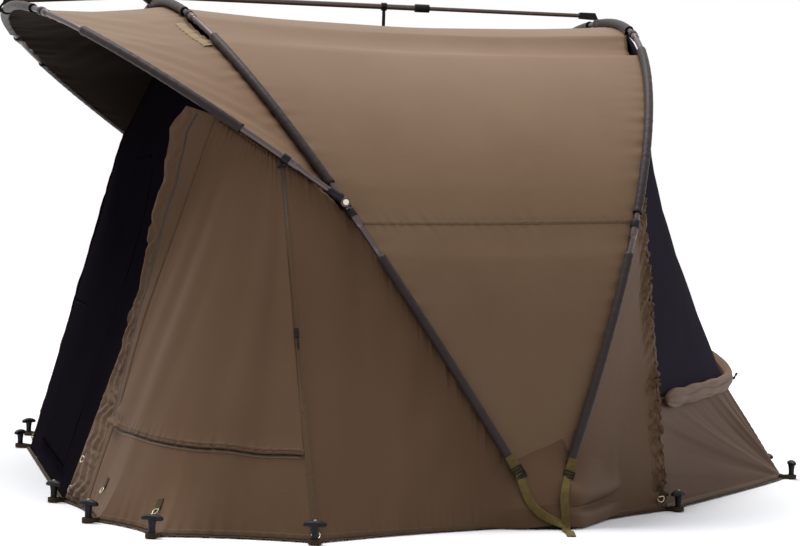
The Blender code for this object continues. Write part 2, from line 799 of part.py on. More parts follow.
RIDGE_FRAME, RIDGE_REACH = bar_frame(REAR_RIB, 1)
FRONT_BAR_FRAME, FRONT_BAR_REACH = bar_frame(PEAK_RIB, -1)
HOOK_RADIUS = SLEEVE_OUTER_RADIUS + HOOK_GAP


def side_on(x, y, z):
    """A frame for an outline drawn in the tent's YZ plane and thickened along X."""
    turn = Matrix(((0, 0, 1, 0), (1, 0, 0, 0), (0, 1, 0, 0), (0, 0, 0, 1)))
    return Matrix.Translation((x, y, z)) @ turn


def arc(centre, radius, start_deg, end_deg):
    """Points on an arc, as (x, y)."""
    turns = np.linspace(math.radians(start_deg), math.radians(end_deg), ROUND_SIDES // 2 + 1)
    return [(centre[0] + radius * math.cos(t), centre[1] + radius * math.sin(t)) for t in turns]


def apex_bracket():
    """A saddle on the front rib's top: a slot between two cheeks, with a pin for each bar's end."""
    top = FRONT_RIB.frame @ FRONT_RIB.flat(FRONT_RIB.half)
    radius = TUBE_RADIUS + CLAMP_CLEARANCE
    loop = arc((0.0, 0.0), radius + BRACKET_WALL, 180, 360)
    loop += arc((BAR_PIVOT_SPREAD, BAR_RISE), BRACKET_LOBE, -45, 90)
    loop += arc((-BAR_PIVOT_SPREAD, BAR_RISE), BRACKET_LOBE, 90, 225)
    plate = outline("plate", [loop], BRACKET_WIDTH, BLACK_PLASTIC, side_on(*top))
    plate.name = "front_apex_bracket"
    made = solid(plate)
    across = Vector((BRACKET_WIDTH, 0.0, 0.0))
    slot_floor = top.z + BAR_RISE - BAR_SLOT_DEPTH

    def slot(shape):
        size = (2 * (BAR_RADIUS + BAR_SLOT_CLEARANCE), 4 * BAR_PIVOT_SPREAD, 2 * BAR_RISE)
        box(shape, size, Matrix.Translation((0.0, top.y, slot_floor + BAR_RISE)))

    def bore(shape):
        cylinder_between(shape, top - across, top + across, radius)

    def pins(shape):
        for sign in (1, -1):
            pivot = bar_pivot(sign)
            cylinder_between(shape, pivot - across * PIN_SHARE, pivot + across * PIN_SHARE, PIN_RADIUS)

    boolean(made, "DIFFERENCE", slot, "slot")
    boolean(made, "DIFFERENCE", bore, "bore")
    boolean(made, "UNION", pins, "pins")


def bar_line(start, end):
    return [Vector((0.0, start, 0.0)), Vector((0.0, end, 0.0))]


def bar_hook(name, reach, radius, parent):
    """A moulded hook on a bar's end: a block for the bar and a claw over the far side of the rib."""
    height = radius + HOOK_SOCKET_WALL
    rib = (reach, -BAR_RISE)
    loop = [(reach - HOOK_SOCKET_LENGTH, -height), (reach - HOOK_SOCKET_LENGTH, height)]
    loop.append((reach + HOOK_SOCKET_WALL, height))
    loop += arc(rib, HOOK_RADIUS + HOOK_WALL, HOOK_SHOULDER_DEG, HOOK_LIP_DEG)
    loop += arc(rib, HOOK_RADIUS, HOOK_LIP_DEG, 90)
    plate = outline(name, [loop], HOOK_WIDTH, BLACK_PLASTIC, side_on(0.0, 0.0, 0.0))
    return solid(plate, parent)


def hook_socket(hook, reach, radius):
    """Bores the hook for the end of its bar."""

    def socket(shape):
        start, end = bar_line(reach - HOOK_SOCKET_LENGTH - SMALL_OVERRUN, reach - 2 * SECTION_GAP)
        cylinder_between(shape, start, end, radius + SOCKET_CLEARANCE)

    boolean(hook, "DIFFERENCE", socket, "socket")


def pierced_bar(name, end, parent):
    """A hollow bar from its pivot, with a cross hole for the pin."""
    path = [bar_line(-BAR_END_LENGTH, end)]
    made = solid(wrap(name, path, BAR_RADIUS - BAR_WALL, BAR_RADIUS, GUNMETAL_TUBE), parent)

    def hole(shape):
        across = Vector((2 * BAR_RADIUS, 0.0, 0.0))
        cylinder_between(shape, -across, across, PIN_RADIUS + PIN_CLEARANCE)

    boolean(made, "DIFFERENCE", hole, "pin_hole")
    return made


def ridge_bar():
    """Two tubes, one sliding in the other, from the front rib's top to a hook on the rear rib."""
    swing = hinge_empty("ridge_bar_hinge", RIDGE_FRAME)
    slide = hinge_empty("ridge_bar_slide", RIDGE_FRAME)
    outer_end = OUTER_BAR_SHARE * RIDGE_REACH
    pierced_bar("ridge_bar_outer", outer_end, swing)
    inner_start = outer_end - INNER_BAR_OVERLAP
    inner = [bar_line(inner_start, RIDGE_REACH - 4 * SECTION_GAP)]
    tube("ridge_bar_inner", inner, INNER_BAR_RADIUS, GUNMETAL_TUBE, slide)
    hook = bar_hook("ridge_bar_hook", RIDGE_REACH, INNER_BAR_RADIUS, slide)
    hook_socket(hook, RIDGE_REACH, INNER_BAR_RADIUS)
    ridge_collar(outer_end, swing)
    roof_clip(swing)


def ridge_collar(outer_end, parent):
    """A turned clamp ring over the outer tube's end, with a lip that the inner tube slides through."""
    wide = BAR_RADIUS + SOCKET_CLEARANCE
    narrow = INNER_BAR_RADIUS + SOCKET_CLEARANCE
    top = outer_end + COLLAR_LENGTH / 3
    low = top - COLLAR_LENGTH
    step = outer_end + SECTION_GAP
    profile = [
        (COLLAR_RADIUS - COLLAR_CHAMFER, top),
        (COLLAR_RADIUS, top - COLLAR_CHAMFER),
        (COLLAR_RADIUS, low + COLLAR_CHAMFER),
        (COLLAR_RADIUS - COLLAR_CHAMFER, low),
        (wide, low),
        (wide, step),
        (narrow, step),
        (narrow, top),
    ]
    made = turned("ridge_bar_collar", profile, ROUND_SIDES, BLACK_PLASTIC, parent)
    made.rotation_euler = (-math.pi / 2, 0.0, 0.0)


def turned(name, profile, sides, skin, parent=None, closed=True):
    """A ring or a knob turned about Z from a profile of (radius, height)."""
    count = len(profile)
    edges = [(index, index + 1) for index in range(count - 1)]
    if closed:
        edges.append((count - 1, 0))
    mesh = bpy.data.meshes.new(name)
    mesh.from_pydata([(radius, 0.0, height) for radius, height in profile], edges, [])
    made = add(name, mesh, skin, parent)
    screw = made.modifiers.new("turn", "SCREW")
    screw.steps = sides
    screw.render_steps = sides
    screw.use_merge_vertices = True
    screw.merge_threshold = WELD_DISTANCE
    screw.use_normal_calculate = True
    return made


def roof_clip(parent):
    """A moulded ring on the ridge bar with a tongue down to the loop on the roof."""
    place = CLIP_SHARE * RIDGE_REACH
    inner = BAR_RADIUS + SOCKET_CLEARANCE
    path = [bar_line(place, place + CLIP_LENGTH)]
    made = solid(wrap("roof_clip", path, inner, inner + CLIP_WALL, BLACK_PLASTIC), parent)
    middle = place + CLIP_LENGTH / 2
    drop = roof_depth(middle) - CLOTH_THICKNESS / 2 - 2 * CLOTH_GAP

    def tongue(shape):
        size = (CLIP_WALL, CLIP_LENGTH * CLIP_TONGUE_SHARE, drop - inner - CLIP_WALL / 2)
        low = Vector((0.0, middle, -drop + size[2] / 2))
        box(shape, size, Matrix.Translation(low))

    boolean(made, "UNION", tongue, "tongue")


def roof_depth(place):
    """How far the roof's middle line lies below the ridge bar, this far along the bar."""
    front = FRONT_RIB.lining(FRONT_RIB.half)
    rear = REAR_RIB.lining(REAR_RIB.half)
    point = RIDGE_FRAME @ Vector((0.0, place, 0.0))
    share = (point.y - front.y) / (rear.y - front.y)
    height = front.z + (rear.z - front.z) * share - ROOF_SAG * 4 * share * (1 - share)
    return point.z - height


def front_bar():
    """A short hollow bar from the front rib's top, with the hook for the peak rib fixed on its end."""
    swing = hinge_empty("front_bar_hinge", FRONT_BAR_FRAME)
    made = pierced_bar("front_bar", FRONT_BAR_REACH - HOOK_SOCKET_LENGTH / 2, swing)
    cut_with(made, "UNION", bar_hook("front_bar_hook", FRONT_BAR_REACH, BAR_RADIUS, swing))


def roof_ruling(share):
    """A straight line of the roof from the front rib to the rear rib; share 0 is the +X end."""
    front, rear = (TIP_LENGTH + 2 * (rib.half - TIP_LENGTH) * share for rib in (FRONT_RIB, REAR_RIB))
    start = FRONT_RIB.lining_towards(front, REAR_RIB.centre(rear))
    return start, REAR_RIB.lining_towards(rear, FRONT_RIB.centre(front))


def roof_sag(start):
    """How far a ruling that starts at this point of the front rib hangs down half way along."""
    return ROOF_SAG * (start.z / FRONT_RIB.lining(FRONT_RIB.half).z) ** ROOF_SAG_POWER


def roof():
    """The roof and both sides in one sheet between the front rib and the rear rib."""
    front, rear = zip(*[roof_ruling(share) for share in np.linspace(0.0, 1.0, ROOF_COLUMNS + 1)])
    grid = ruled(front, rear, ROOF_ROWS)
    shares = np.linspace(0.0, 1.0, ROOF_ROWS + 1)[:, None]
    grid[:, :, 2] -= 4.0 * shares * (1.0 - shares) * np.array([[roof_sag(p) for p in front]])
    cloth("roof", grid, BROWN_CLOTH)


def peak_scallop(distance):
    """How far the hood's front edge is drawn back where the peak rib has no sleeve."""
    share = min(distance, 2 * PEAK_RIB.half - distance) / PEAK_RIB.half
    start = PEAK_SLEEVE_SHARES[0][1]
    end = PEAK_SLEEVE_SHARES[1][0]
    if not start < share < end:
        return 0.0
    inner = (share - start) / (end - start)
    return SCALLOP_DEPTH * 4 * inner * (1 - inner)


def hood_ruling(share):
    """A straight line of the hood from the peak rib to the front rib; share 0 is the +X end."""
    peak = SWIVEL_CLOTH_GAP + 2 * (PEAK_RIB.half - SWIVEL_CLOTH_GAP) * share
    low = SWIVEL + HOOD_TIP_GAP
    front = low + 2 * (FRONT_RIB.half - low) * share
    start = PEAK_RIB.lining_towards(peak, FRONT_RIB.centre(front), peak_scallop(peak))
    return start, FRONT_RIB.lining_towards(front, PEAK_RIB.centre(peak))


def hood():
    """The sheet from the front rib forward to the peak rib, over the door."""
    peak, front = zip(*[hood_ruling(share) for share in np.linspace(0.0, 1.0, HOOD_COLUMNS + 1)])
    cloth("hood", ruled(peak, front, HOOD_ROWS, sag=HOOD_SAG), BROWN_CLOTH)


def front_hem_lines():
    """The hem on the +X side from the door back to the hub, one line from each peg to the next."""
    ends = [*FRONT_HEM, FRONT_HUB_HEM]
    steps = FRONT_HEM_STEPS
    return [bowed(start, end, step, HEM_BOW) for start, end, step in zip(ends, ends[1:], steps)]


def rear_hem_lines():
    """The hem on the +X side from the hub back to the tent's tail."""
    hem = rear_lines()[2]
    middle = REAR_COLUMNS // 2
    return [gusset_edges()[1], hem[:middle], hem[middle - 1 : middle + 1]]


def wall_edges():
    """The front wall's top and bottom edges on the +X side, from the door back to the hub."""
    door = DOOR_SHARE * PEAK_RIB.half
    seam = WINDOW_SEAM_SHARE * PEAK_RIB.half
    places = [(PEAK_RIB, d, 0.0) for d in np.linspace(door, seam, WINDOW_SEAM_COLUMN + 1)]
    places.append((PEAK_RIB, (seam + SWIVEL_CLOTH_GAP) / 2, 0.0))
    places.append((PEAK_RIB, SWIVEL_CLOTH_GAP, 0.0))
    behind = np.linspace(SWIVEL - SWIVEL_CLOTH_GAP / 2, TIP_LENGTH, FRONT_HEM_STEPS[3] - 2)
    for index, d in enumerate(behind):
        places.append((FRONT_RIB, d, SWIVEL_CLOTH_DROP if index == 0 else 0.0))
    lines = front_hem_lines()
    bottoms = [*lines[0], *lines[1][1:], *lines[2][1:], *lines[3][1:]]
    tops = [rib.lining_towards(d, low, drop) for (rib, d, drop), low in zip(places, bottoms)]
    return tops, bottoms


def front_wall(name, side):
    tops, bottoms = wall_edges()
    grid = ruled(side_points(tops, side), side_points(bottoms, side), WALL_ROWS, trim_bottom=False)
    cloth(name, grid, BROWN_CLOTH)


def gusset_edges():
    """The rear side panel's top and bottom edges on the +X side, from the hub to the rear seam."""
    seam = REAR_SEAM_SHARE * REAR_RIB.half
    bottoms = bowed(REAR_HUB_HEM, REAR_HEM, GUSSET_COLUMNS, HEM_BOW / 2)
    places = np.linspace(TIP_LENGTH, seam, GUSSET_COLUMNS + 1)
    return [REAR_RIB.lining_towards(d, low) for d, low in zip(places, bottoms)], bottoms


def rear_gusset(name, side):
    tops, bottoms = gusset_edges()
    grid = ruled(side_points(tops, side), side_points(bottoms, side), WALL_ROWS, trim_bottom=False)
    cloth(name, grid, BROWN_CLOTH)


def nose_line(corner, reach, height, softness, columns):
    """A line round the tent's rear at one height: straight sides that meet in a rounded nose."""
    base = math.sqrt(1.0 + softness**2) - softness
    line = []
    for share in columns:
        rise = 1.0 - (math.sqrt(share**2 + softness**2) - softness) / base
        y = corner.y + (HUB_Y + reach - corner.y) * rise
        line.append(Vector((corner.x * share, y, height)))
    return line


def rear_lines():
    """The top, sill and hem lines of the rear wall, from the +X seam round to the -X seam."""
    seam = REAR_SEAM_SHARE * REAR_RIB.half
    places = np.linspace(seam, 2 * REAR_RIB.half - seam, REAR_COLUMNS + 1)
    tops = [REAR_RIB.lining(d) for d in places]
    columns = [top.x / tops[0].x for top in tops]
    drop = (tops[0].z - SILL_HEIGHT) / (tops[0].z - REAR_HEM.z)
    corner = tops[0].lerp(REAR_HEM, drop)
    sill = nose_line(corner, SILL_REAR, SILL_HEIGHT, SILL_NOSE_SHARE, columns)
    hem = nose_line(REAR_HEM, FLOOR_REAR, FLOOR_LIFT, HEM_NOSE_SHARE, columns)
    tops = [REAR_RIB.lining_towards(d, point) for d, point in zip(places, sill)]
    return tops, sill, hem


def rear_wall():
    """The mesh rear window, the cloth skirt under it, and the window's storm flap rolled on the sill."""
    tops, sill, hem = rear_lines()
    cloth("rear_window_mesh", ruled(tops, sill, WALL_ROWS), BLACK_MESH)
    cloth("rear_skirt", ruled(sill, hem, SKIRT_ROWS, trim_bottom=False), BROWN_CLOTH)
    path = []
    for index in range(ROLL_MARGIN, REAR_COLUMNS + 1 - ROLL_MARGIN):
        run = sill[index + 1] - sill[index - 1]
        out = Vector((run.y, -run.x, 0.0)).normalized()
        path.append(sill[index] + (out + Vector((0.0, 0.0, ROLL_LIFT_SHARE))) * ROLL_STANDOFF)
    lumps = [(1 + math.cos(index * ROLL_LUMP_TURN)) / 2 for index in range(len(path))]
    radii = [1.0 - ROLL_TAPER * lump for lump in lumps]
    tube("rear_flap_roll", [path], ROLL_RADIUS, BROWN_CLOTH, radii=radii)


def door_corner():
    """The doorway's top corner on the +X side, just inside the peak rib."""
    return PEAK_RIB.lining_towards(DOOR_SHARE * PEAK_RIB.half, FRONT_HEM[0])


def door_plane():
    """The doorway's sloping plane: local X across, local Y up the slope, local Z outwards."""
    corner = door_corner()
    foot = Vector((0.0, FRONT_HEM[0].y, FLOOR_LIFT))
    up = Vector((0.0, corner.y - foot.y, corner.z - foot.z)).normalized()
    across = Vector((1.0, 0.0, 0.0))
    out = across.cross(up)
    frame = Matrix((across, up, out)).transposed().to_4x4()
    return Matrix.Translation(foot + out * DOOR_OUTSET) @ frame


DOOR_FRAME = door_plane()


def plane_crossing(start, end, sag):
    """Where a ruling that hangs down by sag crosses the doorway's plane, and the share of the way."""
    inverse = DOOR_FRAME.inverted()
    share = 0.0
    for _ in range(CROSSING_STEPS):
        drop = Vector((0.0, 0.0, sag * 4 * share * (1 - share)))
        a = inverse @ (start - drop)
        b = inverse @ (end - drop)
        share = a.z / (a.z - b.z) if abs(a.z - b.z) > 0 else 2.0
    return a.lerp(b, share), share


def door_top_line():
    """The doorway's top edge from its +X corner to the middle: its plane meets the hood, then the roof."""
    corner = DOOR_FRAME.inverted() @ door_corner()
    hood_low = SWIVEL + HOOD_TIP_GAP
    first = (DOOR_SHARE * PEAK_RIB.half - SWIVEL_CLOTH_GAP) / (PEAK_RIB.half - SWIVEL_CLOTH_GAP) / 2
    points = [(corner.x, corner.y)]
    for share in np.linspace(first, 0.5, DOOR_TOP_STEPS + 1)[1:]:
        point, reach = plane_crossing(*hood_ruling(share), HOOD_SAG)
        if reach > 1.0:
            place = hood_low + 2 * (FRONT_RIB.half - hood_low) * share
            start, end = roof_ruling((place - TIP_LENGTH) / (FRONT_RIB.half - TIP_LENGTH) / 2)
            point, reach = plane_crossing(start, end, roof_sag(start))
        points.append((point.x, point.y))
    return points


def door_outline():
    """The mesh front's edge, kept clear of the walls, of the hood and of the roof."""
    foot_x = FRONT_HEM[0].x - DOOR_EDGE_GAP
    drop = DOOR_TOP_GAP + CLOTH_THICKNESS
    top = door_top_line()
    corner_x, corner_y = top[0]
    side_x = corner_x + (FRONT_HEM[0].x - corner_x) * drop / corner_y - DOOR_EDGE_GAP
    right = [(foot_x, SECTION_GAP), (side_x, corner_y - drop)]
    right += [(x - DOOR_EDGE_GAP, y - drop) for x, y in top[1:-1]]
    return [*right, (0.0, top[-1][1] - drop), *[(-x, y) for x, y in reversed(right)]]


def flap_outline(margin):
    """The D-shaped door: a straight hinge side, a level foot and a rounded free corner."""
    half = FLAP_HALF_WIDTH + margin
    low = FLAP_BOTTOM - margin
    top = FLAP_BOTTOM + FLAP_HEIGHT + margin
    shoulder = FLAP_BOTTOM + FLAP_HEIGHT * FLAP_SHOULDER_SHARE
    loop = [(-half, low), (half, low), (half, shoulder)]
    for turn in np.linspace(0.0, math.pi / 2, FLAP_CORNER_STEPS + 1)[1:]:
        x = half - 2 * half * FLAP_SHOULDER_SHARE * (1 - math.cos(turn))
        loop.append((x, shoulder + (top - shoulder) * math.sin(turn)))
    loop.append((-half, top))
    return loop


def door():
    """The mesh front, with a hinged mesh flap in it that a zip closes."""
    loops = [door_outline(), flap_outline(FLAP_GAP)]
    outline("door_mesh", loops, CLOTH_THICKNESS, BLACK_MESH, DOOR_FRAME)
    place = Matrix.Translation((-FLAP_HALF_WIDTH, FLAP_BOTTOM, CLOTH_THICKNESS / 2))
    hinge = hinge_empty("door_flap_hinge", DOOR_FRAME @ place)
    shifted = [(x + FLAP_HALF_WIDTH, y - FLAP_BOTTOM) for x, y in flap_outline(0.0)]
    inside = Matrix.Translation((0.0, 0.0, -CLOTH_THICKNESS / 2))
    outline("door_flap", [shifted], CLOTH_THICKNESS, BLACK_MESH, inside, hinge)


def door_edge_roll(name, side):
    """One half of the storm door, gathered back flat along the edge of the doorway."""
    top_x, top_y = door_top_line()[0]
    low = CLOTH_THICKNESS / 2 + CLOTH_GAP + DOOR_ROLL_THICKNESS / 2
    rows = []
    for share in np.linspace(0.0, 1.0, DOOR_ROLL_STEPS + 1):
        up = DOOR_ROLL_END_GAP / top_y + (1 - 2 * DOOR_ROLL_END_GAP / top_y) * share
        gather = DOOR_ROLL_GATHER_SHARE * math.sin(DOOR_ROLL_GATHERS * math.pi * share) ** 2
        edge = FRONT_HEM[0].x + (top_x - FRONT_HEM[0].x) * up - DOOR_ROLL_INSET
        width = DOOR_ROLL_WIDTH * (1 - gather)
        across = [(0.0, low), (width / 2, low + DOOR_ROLL_BULGE), (width, low)]
        rows.append([DOOR_FRAME @ Vector((side * (edge - x), up * top_y, z)) for x, z in across])
    cloth(name, np.array([[tuple(p) for p in row] for row in rows]), BROWN_CLOTH, DOOR_ROLL_THICKNESS)


def base_strap(name, side):
    """A V of webbing from the hub up to a ladder-lock on each rib."""
    hub = Vector((HUB_Y, STRAP_HUB_HEIGHT))
    tops = []
    for rib in (FRONT_RIB, REAR_RIB):
        point = rib.frame @ rib.flat(STRAP_REACH)
        tops.append(Vector((point.y, point.z)))
    front, rear = ((top - hub).normalized() for top in tops)
    front_side = Vector((-front.y, front.x)) * WEBBING_WIDTH / 2
    rear_side = Vector((rear.y, -rear.x)) * WEBBING_WIDTH / 2
    middle = (front + rear).normalized()
    crotch = hub + middle * (WEBBING_WIDTH / 2 / abs(middle.cross(rear)))
    loop = [hub + front_side, tops[0] + front_side, tops[0] - front_side, crotch]
    loop += [tops[1] - rear_side, tops[1] + rear_side, hub + rear_side]
    x = side * (FOOT_HALF_WIDTH + HUB_WIDTH / 2 + STRAP_GAP)
    webbing = [tuple(point) for point in loop]
    made = solid(outline(name, [webbing], WEBBING_THICKNESS, OLIVE_WEBBING, side_on(x, 0.0, 0.0)))

    def locks(shape):
        for run, top in zip((front, rear), tops):
            box(shape, (LOCK_THICKNESS, LOCK_WIDTH, LOCK_LENGTH), lock_frame(x, run, top, 0.0))

    def slots(shape):
        for run, top in zip((front, rear), tops):
            for place in (LOCK_LENGTH / 4, -LOCK_LENGTH / 4):
                size = (2 * LOCK_THICKNESS, LOCK_WIDTH - 2 * LOCK_BAR, LOCK_LENGTH / 2 - LOCK_BAR)
                box(shape, size, lock_frame(x, run, top, place))

    boolean(made, "UNION", locks, "locks")
    boolean(made, "DIFFERENCE", slots, "slots")


def lock_frame(x, run, top, place):
    """Where a ladder-lock stands: its long way along the strap."""
    turn = Matrix.Rotation(math.atan2(run.y, run.x) - math.pi / 2, 4, "X")
    return Matrix.Translation((x, top.x, top.y)) @ turn @ Matrix.Translation((0.0, 0.0, place))


def band(shape, start, end, width, thickness, face):
    """Adds a flat band between two points, its broad face turned to the given direction."""
    run = end - start
    up = run.normalized()
    out = (face - up * face.dot(up)).normalized()
    across = up.cross(out)
    turn = Matrix((across, up, out)).transposed().to_4x4()
    box(shape, (width, run.length, thickness), Matrix.Translation((start + end) / 2) @ turn)


def seam_line(side):
    """The window zip's line on one front wall, top and bottom, and the wall's outward direction."""
    tops, bottoms = wall_edges()
    column = WINDOW_SEAM_COLUMN
    top = tops[column]
    bottom = bottoms[column]
    along_hem = bottoms[column + 1] - bottoms[column - 1]
    out = along_hem.cross(top - bottom).normalized()
    return [Vector((side * p.x, p.y, p.z)) for p in (top, bottom, out)]


def zip_slider(name, side):
    """A zip slider with its puller, which runs on the straight zip beside the side window."""
    top, bottom, out = seam_line(side)
    up = (top - bottom).normalized()
    out = (out - up * out.dot(up)).normalized()
    base = top.lerp(bottom, SLIDER_SHARE) + out * (CLOTH_THICKNESS / 2 + SLIDER_GAP)

    def body(shape):
        middle = base + out * SLIDER_THICKNESS / 2
        half = up * SLIDER_LENGTH / 2
        band(shape, middle - half, middle + half, SLIDER_WIDTH, SLIDER_THICKNESS, out)

    def puller(shape):
        high = base + out * SLIDER_THICKNESS * PULLER_LEVEL_SHARE
        low = high - up * (SLIDER_LENGTH / 2 + PULLER_LENGTH)
        band(shape, low, high, PULLER_WIDTH, PULLER_THICKNESS, out)

    made = mesh_object(name, body, BLACK_PLASTIC)
    boolean(made, "UNION", puller, "puller")


def peg_place(corner):
    """A peg's place just outside a corner of the hem, and the unit direction outwards there."""
    aim = Vector((0.0, HUB_Y - PEG_AIM_SHARE * FLOOR_FRONT, 0.0))
    out = Vector((corner.x, corner.y, 0.0)) - aim
    out.normalize()
    return Vector((corner.x, corner.y, 0.0)) + out * PEG_SETBACK, out


def peg_mesh():
    """A moulded T-peg: a waisted shaft with a flared foot, and a rounded handle across its top."""
    top = PEG_HEIGHT - PEG_HANDLE_RADIUS
    profile = [
        (0.0, top),
        (PEG_SHAFT_RADIUS, top),
        (PEG_WAIST_RADIUS, PEG_HEIGHT * PEG_WAIST_SHARE),
        (PEG_FOOT_RADIUS, PEG_HEIGHT * PEG_FOOT_SHARE),
        (PEG_WAIST_RADIUS, 0.0),
        (0.0, 0.0),
    ]
    made = turned("peg", profile, PEG_SIDES, BLACK_PLASTIC, closed=False)

    def handle(shape):
        bmesh.ops.create_uvsphere(shape, u_segments=PEG_SIDES, v_segments=PEG_HANDLE_RINGS, radius=1.0)
        size = (PEG_HANDLE_RADIUS * PEG_HANDLE_WIDENING, PEG_HANDLE_LENGTH / 2, PEG_HANDLE_RADIUS)
        place = Matrix.Translation((0.0, 0.0, top)) @ Matrix.Diagonal((*size, 1.0))
        bmesh.ops.transform(shape, matrix=place, verts=shape.verts)

    boolean(made, "UNION", handle, "handle")
    made = solid(made)
    mesh = made.data
    bpy.data.objects.remove(made)
    return mesh


def pegs():
    mesh = peg_mesh()
    rear = [line[-1] for line in rear_hem_lines()[:2]]
    for corner, label in zip([*FRONT_HEM, *rear], PEG_LABELS):
        place, out = peg_place(corner)
        for side, hand in SIDES:
            made = add(f"peg_{label}_{hand}", mesh, BLACK_PLASTIC)
            made.location = (side * place.x, place.y, 0.0)
            made.rotation_euler = (0.0, 0.0, math.atan2(out.y, side * out.x))


def webbing_side(lines):
    """The outer and inner edges of the webbing along one half of the hem, and its peg holes."""
    outer, inner, holes = [], [], []
    for line, tip in lines:
        run = line[-1] - line[0]
        out = Vector((run.y, -run.x, 0.0)).normalized()
        if out.dot(line[0] - Vector((0.0, HUB_Y, 0.0))) < 0:
            out.negate()
        inner += [point + out * HEM_TAPE_GAP for point in line]
        edge = [point + out * (HEM_TAPE_GAP + HEM_TAPE_WIDTH) for point in line]
        outer += edge[(1 if outer else 0) : (-1 if tip else None)]
        if tip:
            place, heading = peg_place(line[-1])
            turn = math.degrees(math.atan2(heading.y, heading.x))
            sweep = LOOP_SWEEP_DEG if run.cross(heading).z > 0 else -LOOP_SWEEP_DEG
            hole = PEG_FOOT_RADIUS + LOOP_GAP
            loop = arc((place.x, place.y), hole + LOOP_RIM, turn + sweep, turn - sweep)
            outer += [Vector((x, y, 0.0)) for x, y in loop]
            holes.append(arc((place.x, place.y), hole, 0, 360)[:-1])
    return outer, inner, holes


def hem_webbing(name, lines):
    """Webbing sewn round one end's hem, just over the ground, with a loop round each peg."""
    outer, inner, holes = webbing_side(lines)
    edge = [(p.x, p.y) for p in outer] + [(-p.x, p.y) for p in reversed(outer) if p.x > 0]
    edge += [(-p.x, p.y) for p in inner if p.x > 0] + [(p.x, p.y) for p in reversed(inner)]
    loops = [edge, *holes, *[[(-x, y) for x, y in reversed(hole)] for hole in holes]]
    frame = Matrix.Translation((0.0, 0.0, LOOP_HEIGHT))
    outline(name, loops, WEBBING_THICKNESS, OLIVE_WEBBING, frame)


def tent():
    front_rib()
    rear_rib()
    peak_rib()
    for side, hand in SIDES:
        base_hub(f"base_hub_{hand}", side)
        swivel_clamp(f"swivel_clamp_{hand}", side)
        swivel_bolt(f"swivel_bolt_{hand}", side)
        front_wall(f"front_wall_{hand}", side)
        rear_gusset(f"rear_gusset_{hand}", side)
        zip_slider(f"window_zip_slider_{hand}", side)
        door_edge_roll(f"door_edge_roll_{hand}", side)
        base_strap(f"base_strap_{hand}", side)
    apex_bracket()
    ridge_bar()
    front_bar()
    roof()
    hood()
    rear_wall()
    door()
    front = [(list(reversed(line)), True) for line in reversed(front_hem_lines())]
    hem_webbing("front_hem_webbing", front)
    gusset, side, tail = rear_hem_lines()
    hem_webbing("rear_hem_webbing", [(gusset, True), (side, True), (tail, False)])
    pegs()


tent()
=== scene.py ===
"""A one-man bivvy tent, dressed piece by piece in the order in which it is put together.

The door faces -Y, the tail +Y, and the side that the photograph shows is +X. Every place is in
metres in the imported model's own frame, and the ground is Z = 0.
"""

import bmesh
import bpy
import numpy as np
from mathutils import Matrix, Vector


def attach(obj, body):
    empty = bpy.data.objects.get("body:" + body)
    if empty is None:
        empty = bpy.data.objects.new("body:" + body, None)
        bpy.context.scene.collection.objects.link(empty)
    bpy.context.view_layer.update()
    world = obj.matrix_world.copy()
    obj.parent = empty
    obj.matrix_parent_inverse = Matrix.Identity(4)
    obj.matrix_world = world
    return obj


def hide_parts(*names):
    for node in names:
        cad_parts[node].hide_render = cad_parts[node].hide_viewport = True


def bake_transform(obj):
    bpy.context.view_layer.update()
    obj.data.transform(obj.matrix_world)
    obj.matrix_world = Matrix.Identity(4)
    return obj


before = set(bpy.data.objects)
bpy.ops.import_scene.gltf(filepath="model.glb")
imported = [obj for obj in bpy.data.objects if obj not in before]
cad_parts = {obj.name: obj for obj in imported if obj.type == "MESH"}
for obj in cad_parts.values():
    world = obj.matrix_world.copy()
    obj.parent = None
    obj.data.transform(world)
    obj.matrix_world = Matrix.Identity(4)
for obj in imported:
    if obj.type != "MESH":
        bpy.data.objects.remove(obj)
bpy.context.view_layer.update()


# The ground, the light and the camera. The tent stands on plain pale ground, under one broad soft
# light from above and the even light of the sky. Little light comes back up from the ground, as from
# the turf on which such a tent stands. The camera stands 7.5 m away, a little under the ridge.
FLOOR_REACH = 14.0
CAMERA_PLACE = np.array((7.476, -1.599, 0.7946))
CAMERA_YAW, CAMERA_PITCH, CAMERA_ROLL = 0.2087, -0.0239, 0.0264
CAMERA_LENS_MM = 113.2
SKY_LIGHT = 0.50


def linear(code):
    """An sRGB colour written in hex, as linear red, green, blue and full opacity."""
    parts = np.array([int(code[k : k + 2], 16) for k in (1, 3, 5)]) / 255.0
    parts = np.where(parts <= 0.04045, parts / 12.92, ((parts + 0.055) / 1.055) ** 2.4)
    return (*(float(part) for part in parts), 1.0)


def node(tree, kind, inputs=None, **settings):
    """Adds a node with its settings; an input is set to a value or linked to another's output."""
    made = tree.nodes.new(kind)
    for name, value in settings.items():
        setattr(made, name, value)
    for name, value in (inputs or {}).items():
        if isinstance(value, bpy.types.NodeSocket):
            tree.links.new(value, made.inputs[name])
        else:
            made.inputs[name].default_value = value
    return made


def new_material(name):
    """An empty material, its node tree, and its places on the object and on the UV map in metres."""
    made = bpy.data.materials.new(name)
    made.use_nodes = True
    made.node_tree.nodes.clear()
    place = node(made.node_tree, "ShaderNodeTexCoord")
    return made, made.node_tree, place.outputs["Object"], place.outputs["UV"]


def finished(made, kind, inputs):
    """The material with a shader of this kind joined to its output."""
    shader = node(made.node_tree, kind, inputs)
    node(made.node_tree, "ShaderNodeOutputMaterial", {"Surface": shader.outputs[0]})
    return made


def maths(tree, operation, one, two):
    """A number worked out from two others."""
    return node(tree, "ShaderNodeMath", {0: one, 1: two}, operation=operation).outputs[0]


